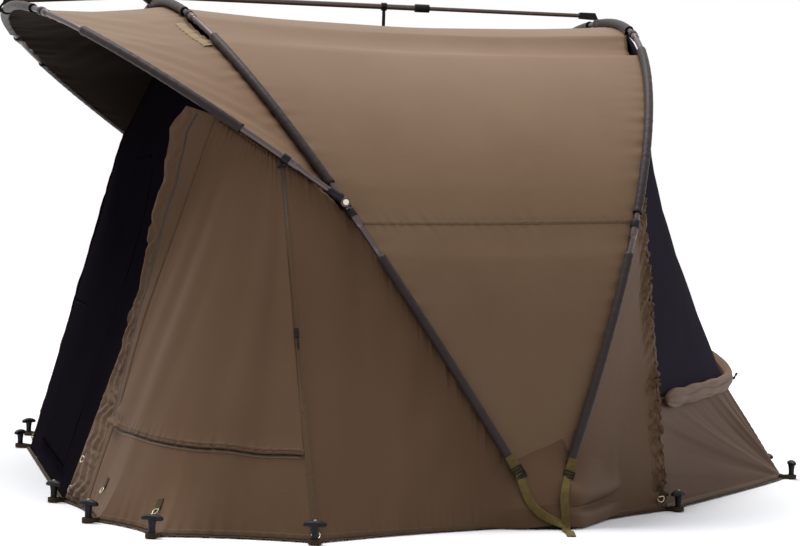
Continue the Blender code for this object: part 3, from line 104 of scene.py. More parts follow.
def seen(tree):
    """One for the rays that a viewer sees directly, through a gap or in a reflection, else zero."""
    path = node(tree, "ShaderNodeLightPath")
    camera_ray, through, glossy = (path.outputs[f"Is {kind} Ray"] for kind in SEEN_RAYS)
    return maths(tree, "MAXIMUM", maths(tree, "MAXIMUM", camera_ray, through), glossy)


SEEN_RAYS = ("Camera", "Transmission", "Glossy")


def ground():
    """Pale matt ground, one flat square that throws only a little light back up at the cloth."""
    reach = FLOOR_REACH
    corners = [(-reach, -reach, 0), (reach, -reach, 0), (reach, reach, 0), (-reach, reach, 0)]
    mesh = bpy.data.meshes.new("ground")
    mesh.from_pydata(corners, [], [(0, 1, 2, 3)])
    made, tree, _, _ = new_material("pale_matt_ground")
    shades = {0: seen(tree), 6: linear("#8C867C"), 7: (1.35, 1.35, 1.35, 1.0)}
    tint = node(tree, "ShaderNodeMix", shades, data_type="RGBA")
    paint = {"Color": tint.outputs[2], "Roughness": 1.0}
    mesh.materials.append(finished(made, "ShaderNodeBsdfDiffuse", paint))
    floor = bpy.data.objects.new("ground", mesh)
    bpy.context.scene.collection.objects.link(floor)


def sky():
    """A white surround for the camera and for reflections, and a dimmer even light on the tent."""
    world = bpy.data.worlds.new("sky")
    bpy.context.scene.world = world
    world.use_nodes = True
    tree = world.node_tree
    tree.nodes.clear()
    dim = node(tree, "ShaderNodeBackground", {"Color": linear("#F2F4FA"), "Strength": SKY_LIGHT})
    bright = node(tree, "ShaderNodeBackground", {"Color": (1, 1, 1, 1), "Strength": 1.0})
    mix = node(tree, "ShaderNodeMixShader", {0: seen(tree), 1: dim.outputs[0], 2: bright.outputs[0]})
    node(tree, "ShaderNodeOutputWorld", {"Surface": mix.outputs[0]})


def lamp(name, towards, strength, spread_deg):
    """A far light that shines along a direction; the spread softens its shadows."""
    light = bpy.data.lights.new(name, "SUN")
    light.energy = strength
    light.angle = np.radians(spread_deg)
    made = bpy.data.objects.new(name, light)
    made.rotation_mode = "QUATERNION"
    made.rotation_quaternion = Vector(towards).to_track_quat("-Z", "Y")
    bpy.context.scene.collection.objects.link(made)


def camera():
    """The photograph's camera, from its place, its yaw, pitch and roll, and its lens."""
    yaw, pitch, roll = CAMERA_YAW, CAMERA_PITCH, CAMERA_ROLL
    ahead = (-np.cos(yaw) * np.cos(pitch), np.sin(yaw) * np.cos(pitch), np.sin(pitch))
    ahead = np.array(ahead)
    right = np.cross(ahead, (0.0, 0.0, 1.0))
    right /= np.linalg.norm(right)
    up = np.cross(right, ahead)
    tilted_right = right * np.cos(roll) + up * np.sin(roll)
    tilted_up = -right * np.sin(roll) + up * np.cos(roll)
    data = bpy.data.cameras.new("camera")
    data.lens = CAMERA_LENS_MM
    made = bpy.data.objects.new("camera", data)
    turn = Matrix(np.stack([tilted_right, tilted_up, -ahead], 1)).to_4x4()
    made.matrix_world = Matrix.Translation(CAMERA_PLACE) @ turn
    bpy.context.scene.collection.objects.link(made)
    bpy.context.scene.camera = made


ground()
sky()
lamp("overhead_light", (0.30, 0.20, -1.0), 2.75, 34.0)
camera()
bpy.context.scene.view_settings.view_transform = "Standard"


# The three ribs. Each is aluminium tube of 16 mm, cut in sections, bent to an arch and anodised a
# warm gunmetal, with a swaged end that slides into the next section. The CAD tubes are straight
# between their stations, so smooth ones stand for them.
TUBE_RADIUS = 0.008
SWAGE_RADIUS = 0.0104
FERRULE_HALF = 0.025
HUB_Y = 0.119
PIVOT_HEIGHT = 0.035
SHARE_OF_SWIVEL = 0.400
OUTSET_OF_PEAK_RIB = 0.026


def rib(half_width, top, squareness, lean_deg, foot):
    """A rib's centre line and, at each point, its tangent and its inward direction.

    In a plane leaning about X, |x / half_width|^n + |height / top|^n = 1, where n is the squareness.
    """
    turn = np.linspace(0.0, np.pi, 8001)
    x = half_width * np.sign(np.cos(turn)) * np.abs(np.cos(turn)) ** (2 / squareness)
    up = top * np.abs(np.sin(turn)) ** (2 / squareness)
    lean = np.radians(lean_deg)
    line = np.stack([x, foot[0] - up * np.sin(lean), foot[1] + up * np.cos(lean)], 1)
    length = travelled(line)
    even = np.linspace(0.0, length[-1], 2001)
    line = between_points(even, length, line)
    tangent = unit(np.gradient(line, axis=0))
    face = np.array((0.0, -np.cos(lean), -np.sin(lean)))
    made = {"length": even, "line": line, "tangent": tangent, "half": even[-1] / 2}
    return made | {"inward": unit(np.cross(face, tangent)), "face": np.tile(face, (len(even), 1))}


def travelled(line):
    """The distance along a line of points up to each of them."""
    steps = np.linalg.norm(np.diff(line, axis=0), axis=1)
    return np.concatenate([[0.0], np.cumsum(steps)])


def unit(vectors):
    """The same directions at length one."""
    return vectors / np.maximum(np.linalg.norm(vectors, axis=-1, keepdims=True), 1e-12)


def between_points(where, places, points):
    """The points of a line at each place asked for, where its own points stand at given places."""
    return np.stack([np.interp(where, places, column) for column in np.asarray(points).T], -1)


def on(arch, distance, what="line"):
    """What the arch has at each distance from its +X foot: its line, tangent, inward or face."""
    return between_points(distance, arch["length"], arch[what])


FRONT = rib(1.300, 1.620, 2.45, 33.1, (HUB_Y - 0.020, PIVOT_HEIGHT))
REAR = rib(1.270, 1.423, 2.35, -17.9, (HUB_Y + 0.015, PIVOT_HEIGHT))
SWIVEL = SHARE_OF_SWIVEL * FRONT["half"]
SWIVEL_POINT = on(FRONT, SWIVEL)
PEAK = rib(SWIVEL_POINT[0] + OUTSET_OF_PEAK_RIB, 0.970, 2.35, 56.0, SWIVEL_POINT[1:])
SIDES = ((1, "right"), (-1, "left"))
INSIDE = (0.0, 0.1, 0.45)


def surface(name, grid, finish, around=False, capped=False, inside=INSIDE, uv=None):
    """A mesh from a grid of points (rows, columns, xyz), with its own UV map in metres.

    Around joins the last column to the first, as on a tube, and capped closes both ends. Faces
    are turned away from each row's middle on a tube, and from the inside point on a sheet.
    """
    grid = np.asarray(grid, float)
    rows, columns = grid.shape[:2]
    whole = np.concatenate([grid, grid[:, :1]], 1) if around else grid
    across = np.cumsum(np.linalg.norm(np.diff(whole, axis=1), axis=2), axis=1).mean(axis=0)
    down = np.cumsum(np.linalg.norm(np.diff(whole, axis=0), axis=2), axis=0).mean(axis=1)
    if uv is None:
        across = np.concatenate([[0.0], across])
        down = np.concatenate([[0.0], down])
        uv = np.stack(np.meshgrid(across, down), -1)
    index = np.arange(rows * columns).reshape(rows, columns)
    index = np.concatenate([index, index[:, :1]], 1) if around else index
    flat = np.arange(uv.shape[0] * uv.shape[1]).reshape(uv.shape[:2])

    def quads(numbers):
        corners = (numbers[:-1, :-1], numbers[:-1, 1:], numbers[1:, 1:], numbers[1:, :-1])
        return np.stack(corners, -1).reshape(-1, 4)

    faces, places = quads(index), quads(flat)
    points = grid.reshape(-1, 3)
    corners = points[faces]
    middle = corners.mean(axis=1)
    normal = np.cross(corners[:, 2] - corners[:, 0], corners[:, 3] - corners[:, 1])
    core = grid.mean(axis=1).repeat(index.shape[1] - 1, axis=0)
    core = (core[: len(faces)] + core[-len(faces) :]) / 2 if around else np.array(inside)
    if np.einsum("ij,ij->", normal, middle - core) < 0:
        faces, places = faces[:, ::-1], places[:, ::-1]
        ends = [index[0, :columns], index[-1, :columns][::-1]]
    else:
        ends = [index[0, :columns][::-1], index[-1, :columns]]
    loops = [tuple(face) for face in faces.tolist()]
    flags = [True] * len(loops)
    corner_uv = uv.reshape(-1, 2)[places.reshape(-1)]
    if capped:
        loops += [tuple(end.tolist()) for end in ends]
        flags += [False, False]
        corner_uv = np.concatenate([corner_uv, np.zeros((2 * columns, 2))])
    mesh = bpy.data.meshes.new(name)
    mesh.from_pydata(points.tolist(), [], loops)
    mesh.polygons.foreach_set("use_smooth", flags)
    mesh.uv_layers.new(name="metres").data.foreach_set("uv", corner_uv.astype(np.float32).ravel())
    mesh.materials.append(finish)
    mesh.update()
    made = bpy.data.objects.new(name, mesh)
    bpy.context.scene.collection.objects.link(made)
    return made


def dress(piece, body, slot, *nodes):
    """Puts a finished piece on its body and hides the solids it stands for; its slot is not used."""
    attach(piece, body)
    if nodes:
        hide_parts(*nodes)
    return piece


def round_section(centres, across, up, radii, sides):
    """Rings of points round a line: centre + radius * (across * cos t + up * sin t)."""
    turns = np.linspace(0.0, 2 * np.pi, sides, endpoint=False)[None, :, None]
    radii = np.broadcast_to(np.asarray(radii, float), (len(centres),) + np.shape(radii)[1:])
    radii = radii[:, None, None] if radii.ndim == 1 else radii[:, :, None]
    return centres[:, None] + radii * (across[:, None] * np.cos(turns) + up[:, None] * np.sin(turns))


def on_side(points, side):
    """Points of the +X side as they are, or mirrored on to the other side."""
    return np.asarray(points) * np.array((side, 1.0, 1.0))


def round_rib(name, arch, places, radii, sides, side, finish, capped=True):
    """A round piece along a rib, with its rings square to the rib."""
    ends = on(arch, places, "inward"), on(arch, places, "face")
    grid = round_section(on(arch, places), *ends, radii, sides)
    return surface(name, on_side(grid, side), finish, around=True, capped=capped)


def noise(tree, place, scale, detail=2.0, roughness=0.5, distortion=0.0):
    """A cloudy pattern; its scale is the number of clouds to the metre."""
    inputs = {"Vector": place, "Scale": scale, "Detail": detail, "Roughness": roughness}
    return node(tree, "ShaderNodeTexNoise", inputs | {"Distortion": distortion}).outputs[0]


def bands(tree, uv, pitch_mm, axis, distortion=0.0):
    """Even ridges across one direction of the UV map, at a pitch in mm."""
    inputs = {"Vector": uv, "Scale": 100.0 * np.pi / pitch_mm, "Distortion": distortion}
    return node(tree, "ShaderNodeTexWave", inputs, bands_direction=axis).outputs["Fac"]


def ramp(tree, share, colour, pale, start=0.0, end=1.0):
    """One colour up to the start and the other from the end, blended between them."""
    tint = node(tree, "ShaderNodeValToRGB", {0: share})
    for stop, place, code in zip(tint.color_ramp.elements, (start, end), (colour, pale)):
        stop.position = place
        stop.color = linear(code)
    return tint.outputs[0]


def spread(tree, value, low, high):
    """A pattern from 0 to 1 turned into values from low to high."""
    return node(tree, "ShaderNodeMapRange", {"Value": value, "To Min": low, "To Max": high}).outputs[0]


def bump(tree, height, strength, distance, under=None):
    """Small relief that a pattern gives to a surface, over another relief if there is one."""
    inputs = {"Height": height, "Strength": strength, "Distance": distance}
    return node(tree, "ShaderNodeBump", inputs | ({"Normal": under} if under else {})).outputs[0]


def anodised_tube():
    """Gunmetal anodised aluminium: a satin metal, fine drawn lines along it, and pale rubbed spots."""
    made, tree, place, uv = new_material("gunmetal_anodised_aluminium")
    stretch = node(tree, "ShaderNodeMapping", {"Vector": uv, "Scale": (900.0, 12.0, 1.0)})
    drawn = noise(tree, stretch.outputs[0], 1.0)
    wear = ramp(tree, noise(tree, place, 38.0, 6.0, 0.7), "#574C4B", "#857A78", 0.60, 0.78)
    paint = {"Base Color": wear, "Metallic": 0.85, "Roughness": spread(tree, drawn, 0.30, 0.48)}
    paint["Normal"] = bump(tree, drawn, 0.12, 0.0002)
    return finished(made, "ShaderNodeBsdfPrincipled", paint)


def moulded_nylon(name, colour, grain_mm, roughness):
    """Glass-filled nylon from a spark-eroded mould: near black, dull, with a fine even grain."""
    made, tree, place, _ = new_material(name)
    grain = noise(tree, place, 1000.0 / grain_mm, 3.0)
    tint = ramp(tree, noise(tree, place, 60.0, 5.0), colour, "#2C2A2F", 0.45, 0.85)
    paint = {"Base Color": tint, "Roughness": roughness, "Specular IOR Level": 0.18}
    paint["Normal"] = bump(tree, grain, 0.25, 0.0003)
    return finished(made, "ShaderNodeBsdfPrincipled", paint)


ANODISED_TUBE = anodised_tube()
BLACK_NYLON = moulded_nylon("black_glass_filled_nylon", "#100E12", 1.2, 0.5)
SWAGE_RUN = 0.003


def rib_tube(name, arch, span, swages, body, side):
    """A round tube along a stretch of the arch, swollen by a swage over each given stretch."""
    steps = max(int((span[1] - span[0]) / 0.012), 12)
    edges = [edge + shift for swage in swages for edge in swage for shift in (-SWAGE_RUN / 2, SWAGE_RUN / 2)]
    places = np.unique(np.concatenate([np.linspace(*span, steps), edges]).clip(*span))
    radii = np.full(len(places), TUBE_RADIUS)
    for start, end in swages:
        up, down = (np.clip(run / SWAGE_RUN + 0.5, 0, 1) for run in (places - start, end - places))
        radii += (SWAGE_RADIUS - TUBE_RADIUS) * (up * down)
    piece = round_rib(f"tube_{name}", arch, places, radii, 20, side, ANODISED_TUBE)
    return dress(piece, body, "gunmetal_tube", name)


def joint_ring(name, arch, middle, body, side):
    """A black moulded ring over the mouth of a ferrule, rounded at both rims."""
    profile = np.array([(-11, 10.6), (-11, 11.5), (-9, 12.2), (9, 12.2), (11, 11.5), (11, 10.6)]) / 1000
    piece = round_rib(name, arch, middle + profile[:, 0], profile[:, 1], 24, side, BLACK_NYLON)
    return dress(piece, body, "black_plastic")


FRONT_LEG_END = SWIVEL - 0.055
PEAK_MIDDLE = 0.098 * PEAK["half"]
RIB_JOINTS = {
    "front": (FRONT, "tent", (FRONT_LEG_END, 0.765 * FRONT["half"])),
    "rear": (REAR, "rear_rib", (0.360 * REAR["half"], 0.765 * REAR["half"])),
    "peak": (PEAK, "peak_rib", (0.656 * PEAK["half"],)),
}
for rib_name, (arch, body, ends) in RIB_JOINTS.items():
    names = ("side",) if rib_name == "peak" else ("leg", "shoulder")
    for side, hand in SIDES:
        start = 0.0 if rib_name != "front" else 0.0005
        for section, end in zip(names, ends):
            swages = [(end - FERRULE_HALF, end + FERRULE_HALF)]
            if rib_name == "peak":
                swages.append((PEAK_MIDDLE - FERRULE_HALF, PEAK_MIDDLE + FERRULE_HALF))
            tube_name = f"{rib_name}_rib_{section}_{hand}"
            rib_tube(tube_name, arch, (start, end + FERRULE_HALF), swages, body, side)
            joint_ring(f"ring_{tube_name}", arch, end + FERRULE_HALF - 0.008, body, side)
            start = end + FERRULE_HALF
        if rib_name == "peak":
            joint_ring(f"ring_peak_middle_{hand}", arch, PEAK_MIDDLE + 0.017, body, side)
    crown = (ends[-1] + FERRULE_HALF, 2 * arch["half"] - ends[-1] - FERRULE_HALF)
    rib_tube(f"{rib_name}_rib_crown", arch, crown, [], body, 1)


# The pivot ends of the ribs. The rear and the peak rib each turn on a flat lug at their feet, held by
# a headed pin. The smooth tubes above stand for the CAD tubes, so each gets its flattened end here.
LUG_RADIUS, LUG_THICKNESS, NECK_LENGTH, NECK_RADIUS = 0.013, 0.010, 0.055, 0.0109


def rib_lug(name, arch, body, side):
    """A cheese of metal across the rib's foot, bored for its pin, and the thick neck above it."""
    foot = on(arch, 0.0)
    turns = np.linspace(0.0, 2 * np.pi, 32, endpoint=False)
    half = LUG_THICKNESS / 2
    profile = [(0.0046, -half), (LUG_RADIUS - 0.001, -half), (LUG_RADIUS, 0.001 - half)]
    profile += [(LUG_RADIUS, half - 0.001), (LUG_RADIUS - 0.001, half), (0.0046, half), (0.0046, -half)]
    ring = np.stack([np.zeros(32), np.cos(turns), np.sin(turns)], 1)
    grid = np.array([foot + np.array((shift, 0.0, 0.0)) + radius * ring for radius, shift in profile])
    piece = surface(f"lug_{name}", on_side(grid, side), ANODISED_TUBE, around=True)
    dress(piece, body, "gunmetal_tube")
    places = np.array([LUG_RADIUS - 0.003, LUG_RADIUS, NECK_LENGTH - 0.004, NECK_LENGTH])
    radii = np.array([NECK_RADIUS - 0.003, NECK_RADIUS, NECK_RADIUS, NECK_RADIUS - 0.002])
    piece = round_rib(f"neck_{name}", arch, places, radii, 24, side, BLACK_NYLON)
    dress(piece, body, "black_plastic")


for side, hand in SIDES:
    rib_lug(f"rear_{hand}", REAR, "rear_rib", side)
    rib_lug(f"peak_{hand}", PEAK, "peak_rib", side)


# The pole sleeves. Strips of grey-brown cloth folded round the tubes and sewn shut on the inner side,
# where they join the panels; each ends in a turned hem a little wider than the rest.
SLEEVE_RADIUS = 0.0122
SLEEVE_TAIL = 0.0046
CLOTH_EDGE = 0.0154
SLEEVE_SHARES = {
    "front": ((0.070, 0.327), (0.425, 0.691), (0.790, 0.984)),
    "rear": ((0.061, 0.328), (0.384, 0.705), (0.800, 0.984)),
    "peak": ((0.186, 0.520), (0.712, 0.982)),
}


def waves(places, seed, longest, count=6):
    """A smooth wandering line between about -1 and 1: a few sines of seeded lengths and phases."""
    draw = np.random.default_rng(seed)
    lengths = longest * draw.uniform(0.3, 1.0, count)
    phases = draw.uniform(0.0, 2 * np.pi, count)
    return sum(np.sin(2 * np.pi * places / a + b) for a, b in zip(lengths, phases)) / np.sqrt(count * 2)


def thicken(piece, thickness, offset=-1.0, name="cloth"):
    """Gives a sheet its thickness, inwards from its surface or, with no offset, both ways."""
    wall = piece.modifiers.new(name, "SOLIDIFY")
    wall.thickness = thickness
    wall.offset = offset
    return wall


def hump(distance, width):
    """One at a distance of nothing, falling smoothly to a third at the width and to nothing beyond."""
    return np.exp(-((distance / width) ** 2))


def coated_cloth(name, colour, pale, crinkle_mm, crinkle, gloss=0.62):
    """Coated polyester: a tight plain weave, a dull sheen, faint crinkles and slow shifts of colour.

    The threads are 0.3 mm apart, too fine to show, so the weave is drawn at 1.5 mm.
    """
    made, tree, place, uv = new_material(name)
    weave = maths(tree, "ADD", *(bands(tree, uv, 1.5, axis, 0.6) for axis in "XY"))
    creases = noise(tree, place, 1000.0 / crinkle_mm, 5.0, 0.55, 0.8)
    tint = ramp(tree, noise(tree, place, 2.2, 4.0, 0.6), colour, pale, 0.30, 0.70)
    paint = {"Base Color": tint, "Roughness": gloss, "Specular IOR Level": 0.14}
    paint |= {"Sheen Weight": 0.02, "Sheen Roughness": 0.4}
    paint["Normal"] = bump(tree, creases, crinkle, 0.004, bump(tree, weave, 0.10, 0.0004))
    return finished(made, "ShaderNodeBsdfPrincipled", paint)


SLEEVE_CLOTH = coated_cloth("grey_brown_sleeve_cloth", "#37302F", "#463D3C", 14.0, 0.35, 0.5)


def sleeve(name, arch, span, body, side, flare=0.0):
    """A tear-shaped tunnel: radius * (1 + tail * cos^8), its tail turned to the inside of the arch.

    Small puckers run round it, its ends swell into hems, and flare lengthens the tail at its lower end.
    """
    start, end = span
    places = np.linspace(start, end, max(int((end - start) / 0.005), 40))
    turns = np.linspace(0.0, 2 * np.pi, 28, endpoint=False)
    pucker = waves(places, 11 + int(1000 * start), 0.06)
    drift = waves(places, 5 + int(1000 * end), 0.11)
    hem = hump(np.minimum(places - start, end - places) - 0.006, 0.006)
    base = SLEEVE_RADIUS * (1.0 + 0.030 * pucker + 0.06 * hem)
    near_end = np.clip((start + 0.13 - places) / 0.13, 0, 1) ** 1.4
    reach = SLEEVE_TAIL * (1.0 + 0.20 * drift) + flare * near_end
    tail = np.maximum(np.cos(turns), 0.0)[None, :] ** 8
    ripple = 0.012 * np.sin(3 * turns[None, :] + 5.0 * drift[:, None])
    radii = base[:, None] * (1.0 + ripple) + reach[:, None] * tail
    piece = round_rib(name, arch, places, radii, 28, side, SLEEVE_CLOTH, capped=False)
    thicken(piece, 0.0009)
    return dress(piece, body, "sleeve_cloth")


for rib_name, (arch, body, ends) in RIB_JOINTS.items():
    for number, span in enumerate(SLEEVE_SHARES[rib_name], 1):
        for side, hand in SIDES:
            top = number == len(SLEEVE_SHARES[rib_name])
            flare = {"front": 0.018, "rear": 0.014, "peak": 0.004}[rib_name] * top
            span_m = [share * arch["half"] for share in span]
            made = sleeve(f"sleeve_{rib_name}_{number}_{hand}", arch, span_m, body, side, flare)
            if number == 1 and side == 1:
                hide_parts(f"{rib_name}_rib_sleeves")


# The cloth panels. Brown coated polyester, cut to shape and sewn edge to edge, pulled tight between
# the ribs and down to the hem on the ground. Each panel is a ruled surface between its two edges.
BROWN_CLOTH = coated_cloth("brown_coated_polyester", "#836850", "#8C7259", 45.0, 0.16, 0.5)
# The walls are the roof's own cloth; their darker colour is painted shade. The tail sides, hub covers, window
# flaps and tail roll use it too.
SHADED_WALL_CLOTH = coated_cloth("brown_coated_polyester_of_the_walls", "#6C523C", "#745A45", 45.0, 0.16, 0.6)
# The skirt is the same cloth again, darker still by painted shade.
SHADED_SKIRT_CLOTH = coated_cloth("brown_coated_polyester_of_the_skirt_in_painted_shade", "#533823", "#5A3F29", 45.0, 0.16, 0.6)
TIP = 0.085
SWIVEL_CLOTH_GAP = 0.085
ROOF_SAG = 0.030
CLOTH_THICKNESS = 0.0012


def coated_back(name, colour):
    """The proofed inner face of the cloth: a dark brown rubbery film with a low even shine."""
    made, tree, place, _ = new_material(name)
    paint = {"Base Color": linear(colour), "Roughness": 0.9, "Specular IOR Level": 0.05}
    paint["Normal"] = bump(tree, noise(tree, place, 30.0, 4.0), 0.15, 0.003)
    return finished(made, "ShaderNodeBsdfPrincipled", paint)


PROOFED_BACK = coated_back("dark_polyurethane_proofing", "#241B14")


def insect_net(name, pitch_mm, colour, bloom_colour, cover_share):
    """Black polyester insect net: matt threads with a faint grey bloom and open squares between."""
    made, tree, place, uv = new_material(name)
    threads = maths(tree, "MAXIMUM", *(bands(tree, uv, pitch_mm, axis) for axis in "XY"))
    limits = {"Value": threads, "From Min": 0.30, "From Max": 0.42, "To Min": cover_share}
    cover = node(tree, "ShaderNodeMapRange", limits).outputs[0]
    tint = ramp(tree, noise(tree, place, 3.0, 4.0), colour, bloom_colour)
    paint = {"Base Color": tint, "Roughness": 0.85, "Alpha": cover, "Specular IOR Level": 0.0}
    return finished(made, "ShaderNodeBsdfPrincipled", paint)


DOOR_NET = insect_net("black_insect_net", 1.8, "#17141A", "#1F1B22", 0.985)
# The tail's net is the same black net as the door's; its paler colour is painted light.
LIT_TAIL_NET = insect_net("black_insect_net_of_the_tail", 1.8, "#3A3540", "#443F4A", 0.97)


def edge_of(arch, distance, target, drop=0.0):
    """The cloth's edge on the inner side of a rib, turned round it where the line to the target needs."""
    centre = on(arch, distance)
    inner = on(arch, distance, "inward") * (CLOTH_EDGE + np.reshape(drop, (-1, 1)))
    ahead = on(arch, distance, "tangent")
    run = target - centre
    run = unit(run - ahead * np.sum(run * ahead, axis=1, keepdims=True))
    facing = np.sum(inner * run, axis=1, keepdims=True)
    reach = np.linalg.norm(inner, axis=1, keepdims=True)
    turned = unit(inner - run * np.minimum(facing, 0.0)) * reach
    return centre + turned


def scallop(arch, distance, shares, depths):
    """How far the cloth's edge is drawn back where the rib has no sleeve: a parabola per gap."""
    share = np.minimum(distance, 2 * arch["half"] - distance) / arch["half"]
    back = np.zeros_like(share)
    for depth, (_, low), (high, _) in zip(depths, shares, shares[1:]):
        inner = np.clip((share - low) / (high - low), 0.0, 1.0)
        back += depth * 4.0 * inner * (1.0 - inner)
    return back


def normals(grid):
    """The direction away from the inside of the tent at each point of a sheet."""
    down, across = np.gradient(grid, axis=0), np.gradient(grid, axis=1)
    facing = unit(np.cross(down, across))
    outwards = np.sum(facing * (grid - np.array(INSIDE)), axis=(0, 1)).sum()
    return facing if outwards > 0 else -facing


def between(top, bottom, rows):
    """Straight lines from each top point to its bottom point."""
    share = np.linspace(0.0, 1.0, rows)[:, None, None]
    return top[None] * (1.0 - share) + bottom[None] * share


def sheet(name, grid, finish, thickness=CLOTH_THICKNESS):
    """A sheet of cloth through the given grid, with a thickness and its proofed face inside."""
    piece = surface(name, grid, finish)
    piece.data.materials.append(finish if finish is LIT_TAIL_NET else PROOFED_BACK)
    thicken(piece, thickness, 0.0).material_offset = 1
    return piece


def size_of(grid):
    """A sheet's width, length and area as cut: its mean edge lengths and its surface."""
    across = np.linalg.norm(np.diff(grid, axis=1), axis=2).sum(axis=1)
    down = np.linalg.norm(np.diff(grid, axis=0), axis=2).sum(axis=0)
    one, two = grid[1:, 1:] - grid[:-1, :-1], grid[1:, :-1] - grid[:-1, 1:]
    area = float(np.linalg.norm(np.cross(one, two), axis=2).sum() / 2)
    width, length = float(across.max()), float(down.max())
    return (round(width, 2), round(length, 2)), min(area, round(width, 2) * round(length, 2))


def declare(piece, grid, cut=None):
    """Works out the size a sheet of cloth was cut to, from its grid unless a cut is given, and keeps nothing.
    """
    flat, area = size_of(grid)
    if cut is not None:
        flat = cut
    elif area < 0.3 * flat[0] * flat[1]:
        flat = (flat[0], round(area / flat[0] / 0.5, 2))


def bend_with(piece):
    """Bakes a piece's transform into its mesh."""
    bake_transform(piece)


PANELS = {}


def sew(name, key, grid, finish, other, weights, stands_for, rests_on, **more):
    """A panel's sheet in the place of its CAD solid, its grid, weights and other body kept for what is sewn
    on it.
    """
    piece = sheet(name, grid, finish, more.get("thickness", CLOTH_THICKNESS))
    bend_with(piece)
    PANELS[key] = (grid, weights, other)
    if stands_for:
        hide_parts(stands_for)
    declare(piece, grid)


def ruling_length(grid):
    """How long each ruling of a sheet is, from its top edge to its bottom edge."""
    return np.linalg.norm(grid[-1] - grid[0], axis=1)[None, :]


def angle_share(grid, axis_y, axis_z, first, last):
    """How far round a hinge along X each point lies, from the first direction to the last, 0 to 1."""
    angle = np.arctan2(grid[..., 1] - axis_y, grid[..., 2] - axis_z)
    return np.clip((angle - first) / (last - first), 0.0, 1.0)


def roof_grid(columns, rows):
    """The roof: rulings from the front rib to the rear rib, let down by a parabola half way."""
    share = np.linspace(0.0, 1.0, columns)
    front, rear = (TIP + 2 * (arch["half"] - TIP) * share for arch in (FRONT, REAR))
    cuts = [scallop(FRONT, front, SLEEVE_SHARES["front"], FRONT_CUTS)]
    cuts.append(scallop(REAR, rear, SLEEVE_SHARES["rear"], REAR_CUTS))
    top = edge_of(FRONT, front, on(REAR, rear), cuts[0])
    bottom = edge_of(REAR, rear, on(FRONT, front), cuts[1])
    grid = between(top, bottom, rows)
    part = np.linspace(0.0, 1.0, rows)[:, None]
    height = (top[:, 2] / on(FRONT, FRONT["half"])[2])[None, :]
    grid[:, :, 2] -= ROOF_SAG * 4 * part * (1 - part) * np.clip(height, 0, 1) ** 4
    return grid, share[None, :], part


SEAM_SHARE = 0.1755
FRONT_CUTS, REAR_CUTS, PEAK_CUTS = (0.003, 0.010), (0.003, 0.034), (0.016,)
FRONT_ANGLE, REAR_ANGLE, PEAK_ANGLE = -np.radians(33.1), np.radians(17.9), -np.radians(56.0)
plain_roof, share, part = roof_grid(420, 110)
span, along_rib = ruling_length(plain_roof), share * 2 * FRONT["half"]
pull = np.zeros(plain_roof.shape[:2])
for seam_share in (SEAM_SHARE, 1.0 - SEAM_SHARE):
    away = np.abs(share - seam_share) * 2 * FRONT["half"]
    pull += 0.0014 * np.exp(-away / 0.022) * waves(part * span, 3, 0.07)
pull += 0.0016 * np.exp(-np.minimum(part, 1 - part) * span / 0.03) * waves(along_rib, 8, 0.10)
pull += 0.0008 * np.sin(np.pi * part) * waves(along_rib + 0.3 * part, 21, 0.90, 3)
pull += 0.0010 * waves(along_rib * 0.6 + part * span, 4, 0.60, 3) * np.sin(np.pi * part) ** 0.5
grid = plain_roof + normals(plain_roof) * pull[..., None]
weights = angle_share(grid, HUB_Y + 0.015, PIVOT_HEIGHT, FRONT_ANGLE, REAR_ANGLE)
crowns = ["tube_front_rib_crown", "tube_rear_rib_crown"]
sew("roof_panel", "roof", grid, BROWN_CLOTH, "rear_rib", weights, "roof", crowns)


# The hood. One panel runs forward from the front rib to the peak rib and shades the door. Its front
# edge is cut back in a shallow curve wherever the peak rib runs bare.
HOOD_SAG = 0.012


def hood_grid(columns, rows):
    """Rulings from the peak rib back to the front rib, let down by a parabola half way."""
    share = np.linspace(0.0, 1.0, columns)
    low = SWIVEL + 0.060
    peak = SWIVEL_CLOTH_GAP + 2 * (PEAK["half"] - SWIVEL_CLOTH_GAP) * share
    front = low + 2 * (FRONT["half"] - low) * share
    top = edge_of(PEAK, peak, on(FRONT, front), scallop(PEAK, peak, SLEEVE_SHARES["peak"], PEAK_CUTS))
    cut = scallop(FRONT, front, SLEEVE_SHARES["front"], FRONT_CUTS)
    bottom = edge_of(FRONT, front, on(PEAK, peak), cut)
    grid = between(top, bottom, rows)
    part = np.linspace(0.0, 1.0, rows)[:, None]
    grid[:, :, 2] -= HOOD_SAG * 4 * part * (1 - part)
    return grid, peak[None, :], part


grid, along_rib, part = hood_grid(360, 60)
edge_share = np.exp(-np.minimum(part, 1 - part) * ruling_length(grid) / 0.04)
pull = 0.0026 * edge_share * waves(along_rib, 14, 0.09)
pull = pull + 0.0022 * np.sin(np.pi * part) * waves(along_rib + 0.4 * part, 17, 0.30)
grid = grid + normals(grid) * pull[..., None]
weights = angle_share(grid, SWIVEL_POINT[1], SWIVEL_POINT[2], FRONT_ANGLE, PEAK_ANGLE) ** 1.25
crowns = ["tube_peak_rib_crown", "tube_front_rib_crown"]
sew("hood_panel", "hood", grid, BROWN_CLOTH, "peak_rib", weights, "hood", crowns)


# The front walls. Each runs from the edge of the doorway back to the hub, from the peak rib and the
# front rib down to the hem on the ground, where it is pegged at four corners.
GROUND_CLEAR = 0.001
HEM_CORNERS = [(0.7345, -1.071), (1.1635, -1.0234), (1.4534, -0.90202), (1.573, -0.5355), (1.282, 0.05)]
HEM_CORNERS = np.array(HEM_CORNERS)
HEM_BOW = 0.022
WALL_END, WINDOW_SEAM = 17.0, 8.0
HEM_KNOTS = (0, 3, 5, 8, WALL_END)
DOOR_PLACE, SEAM_PLACE = 0.245, 0.114


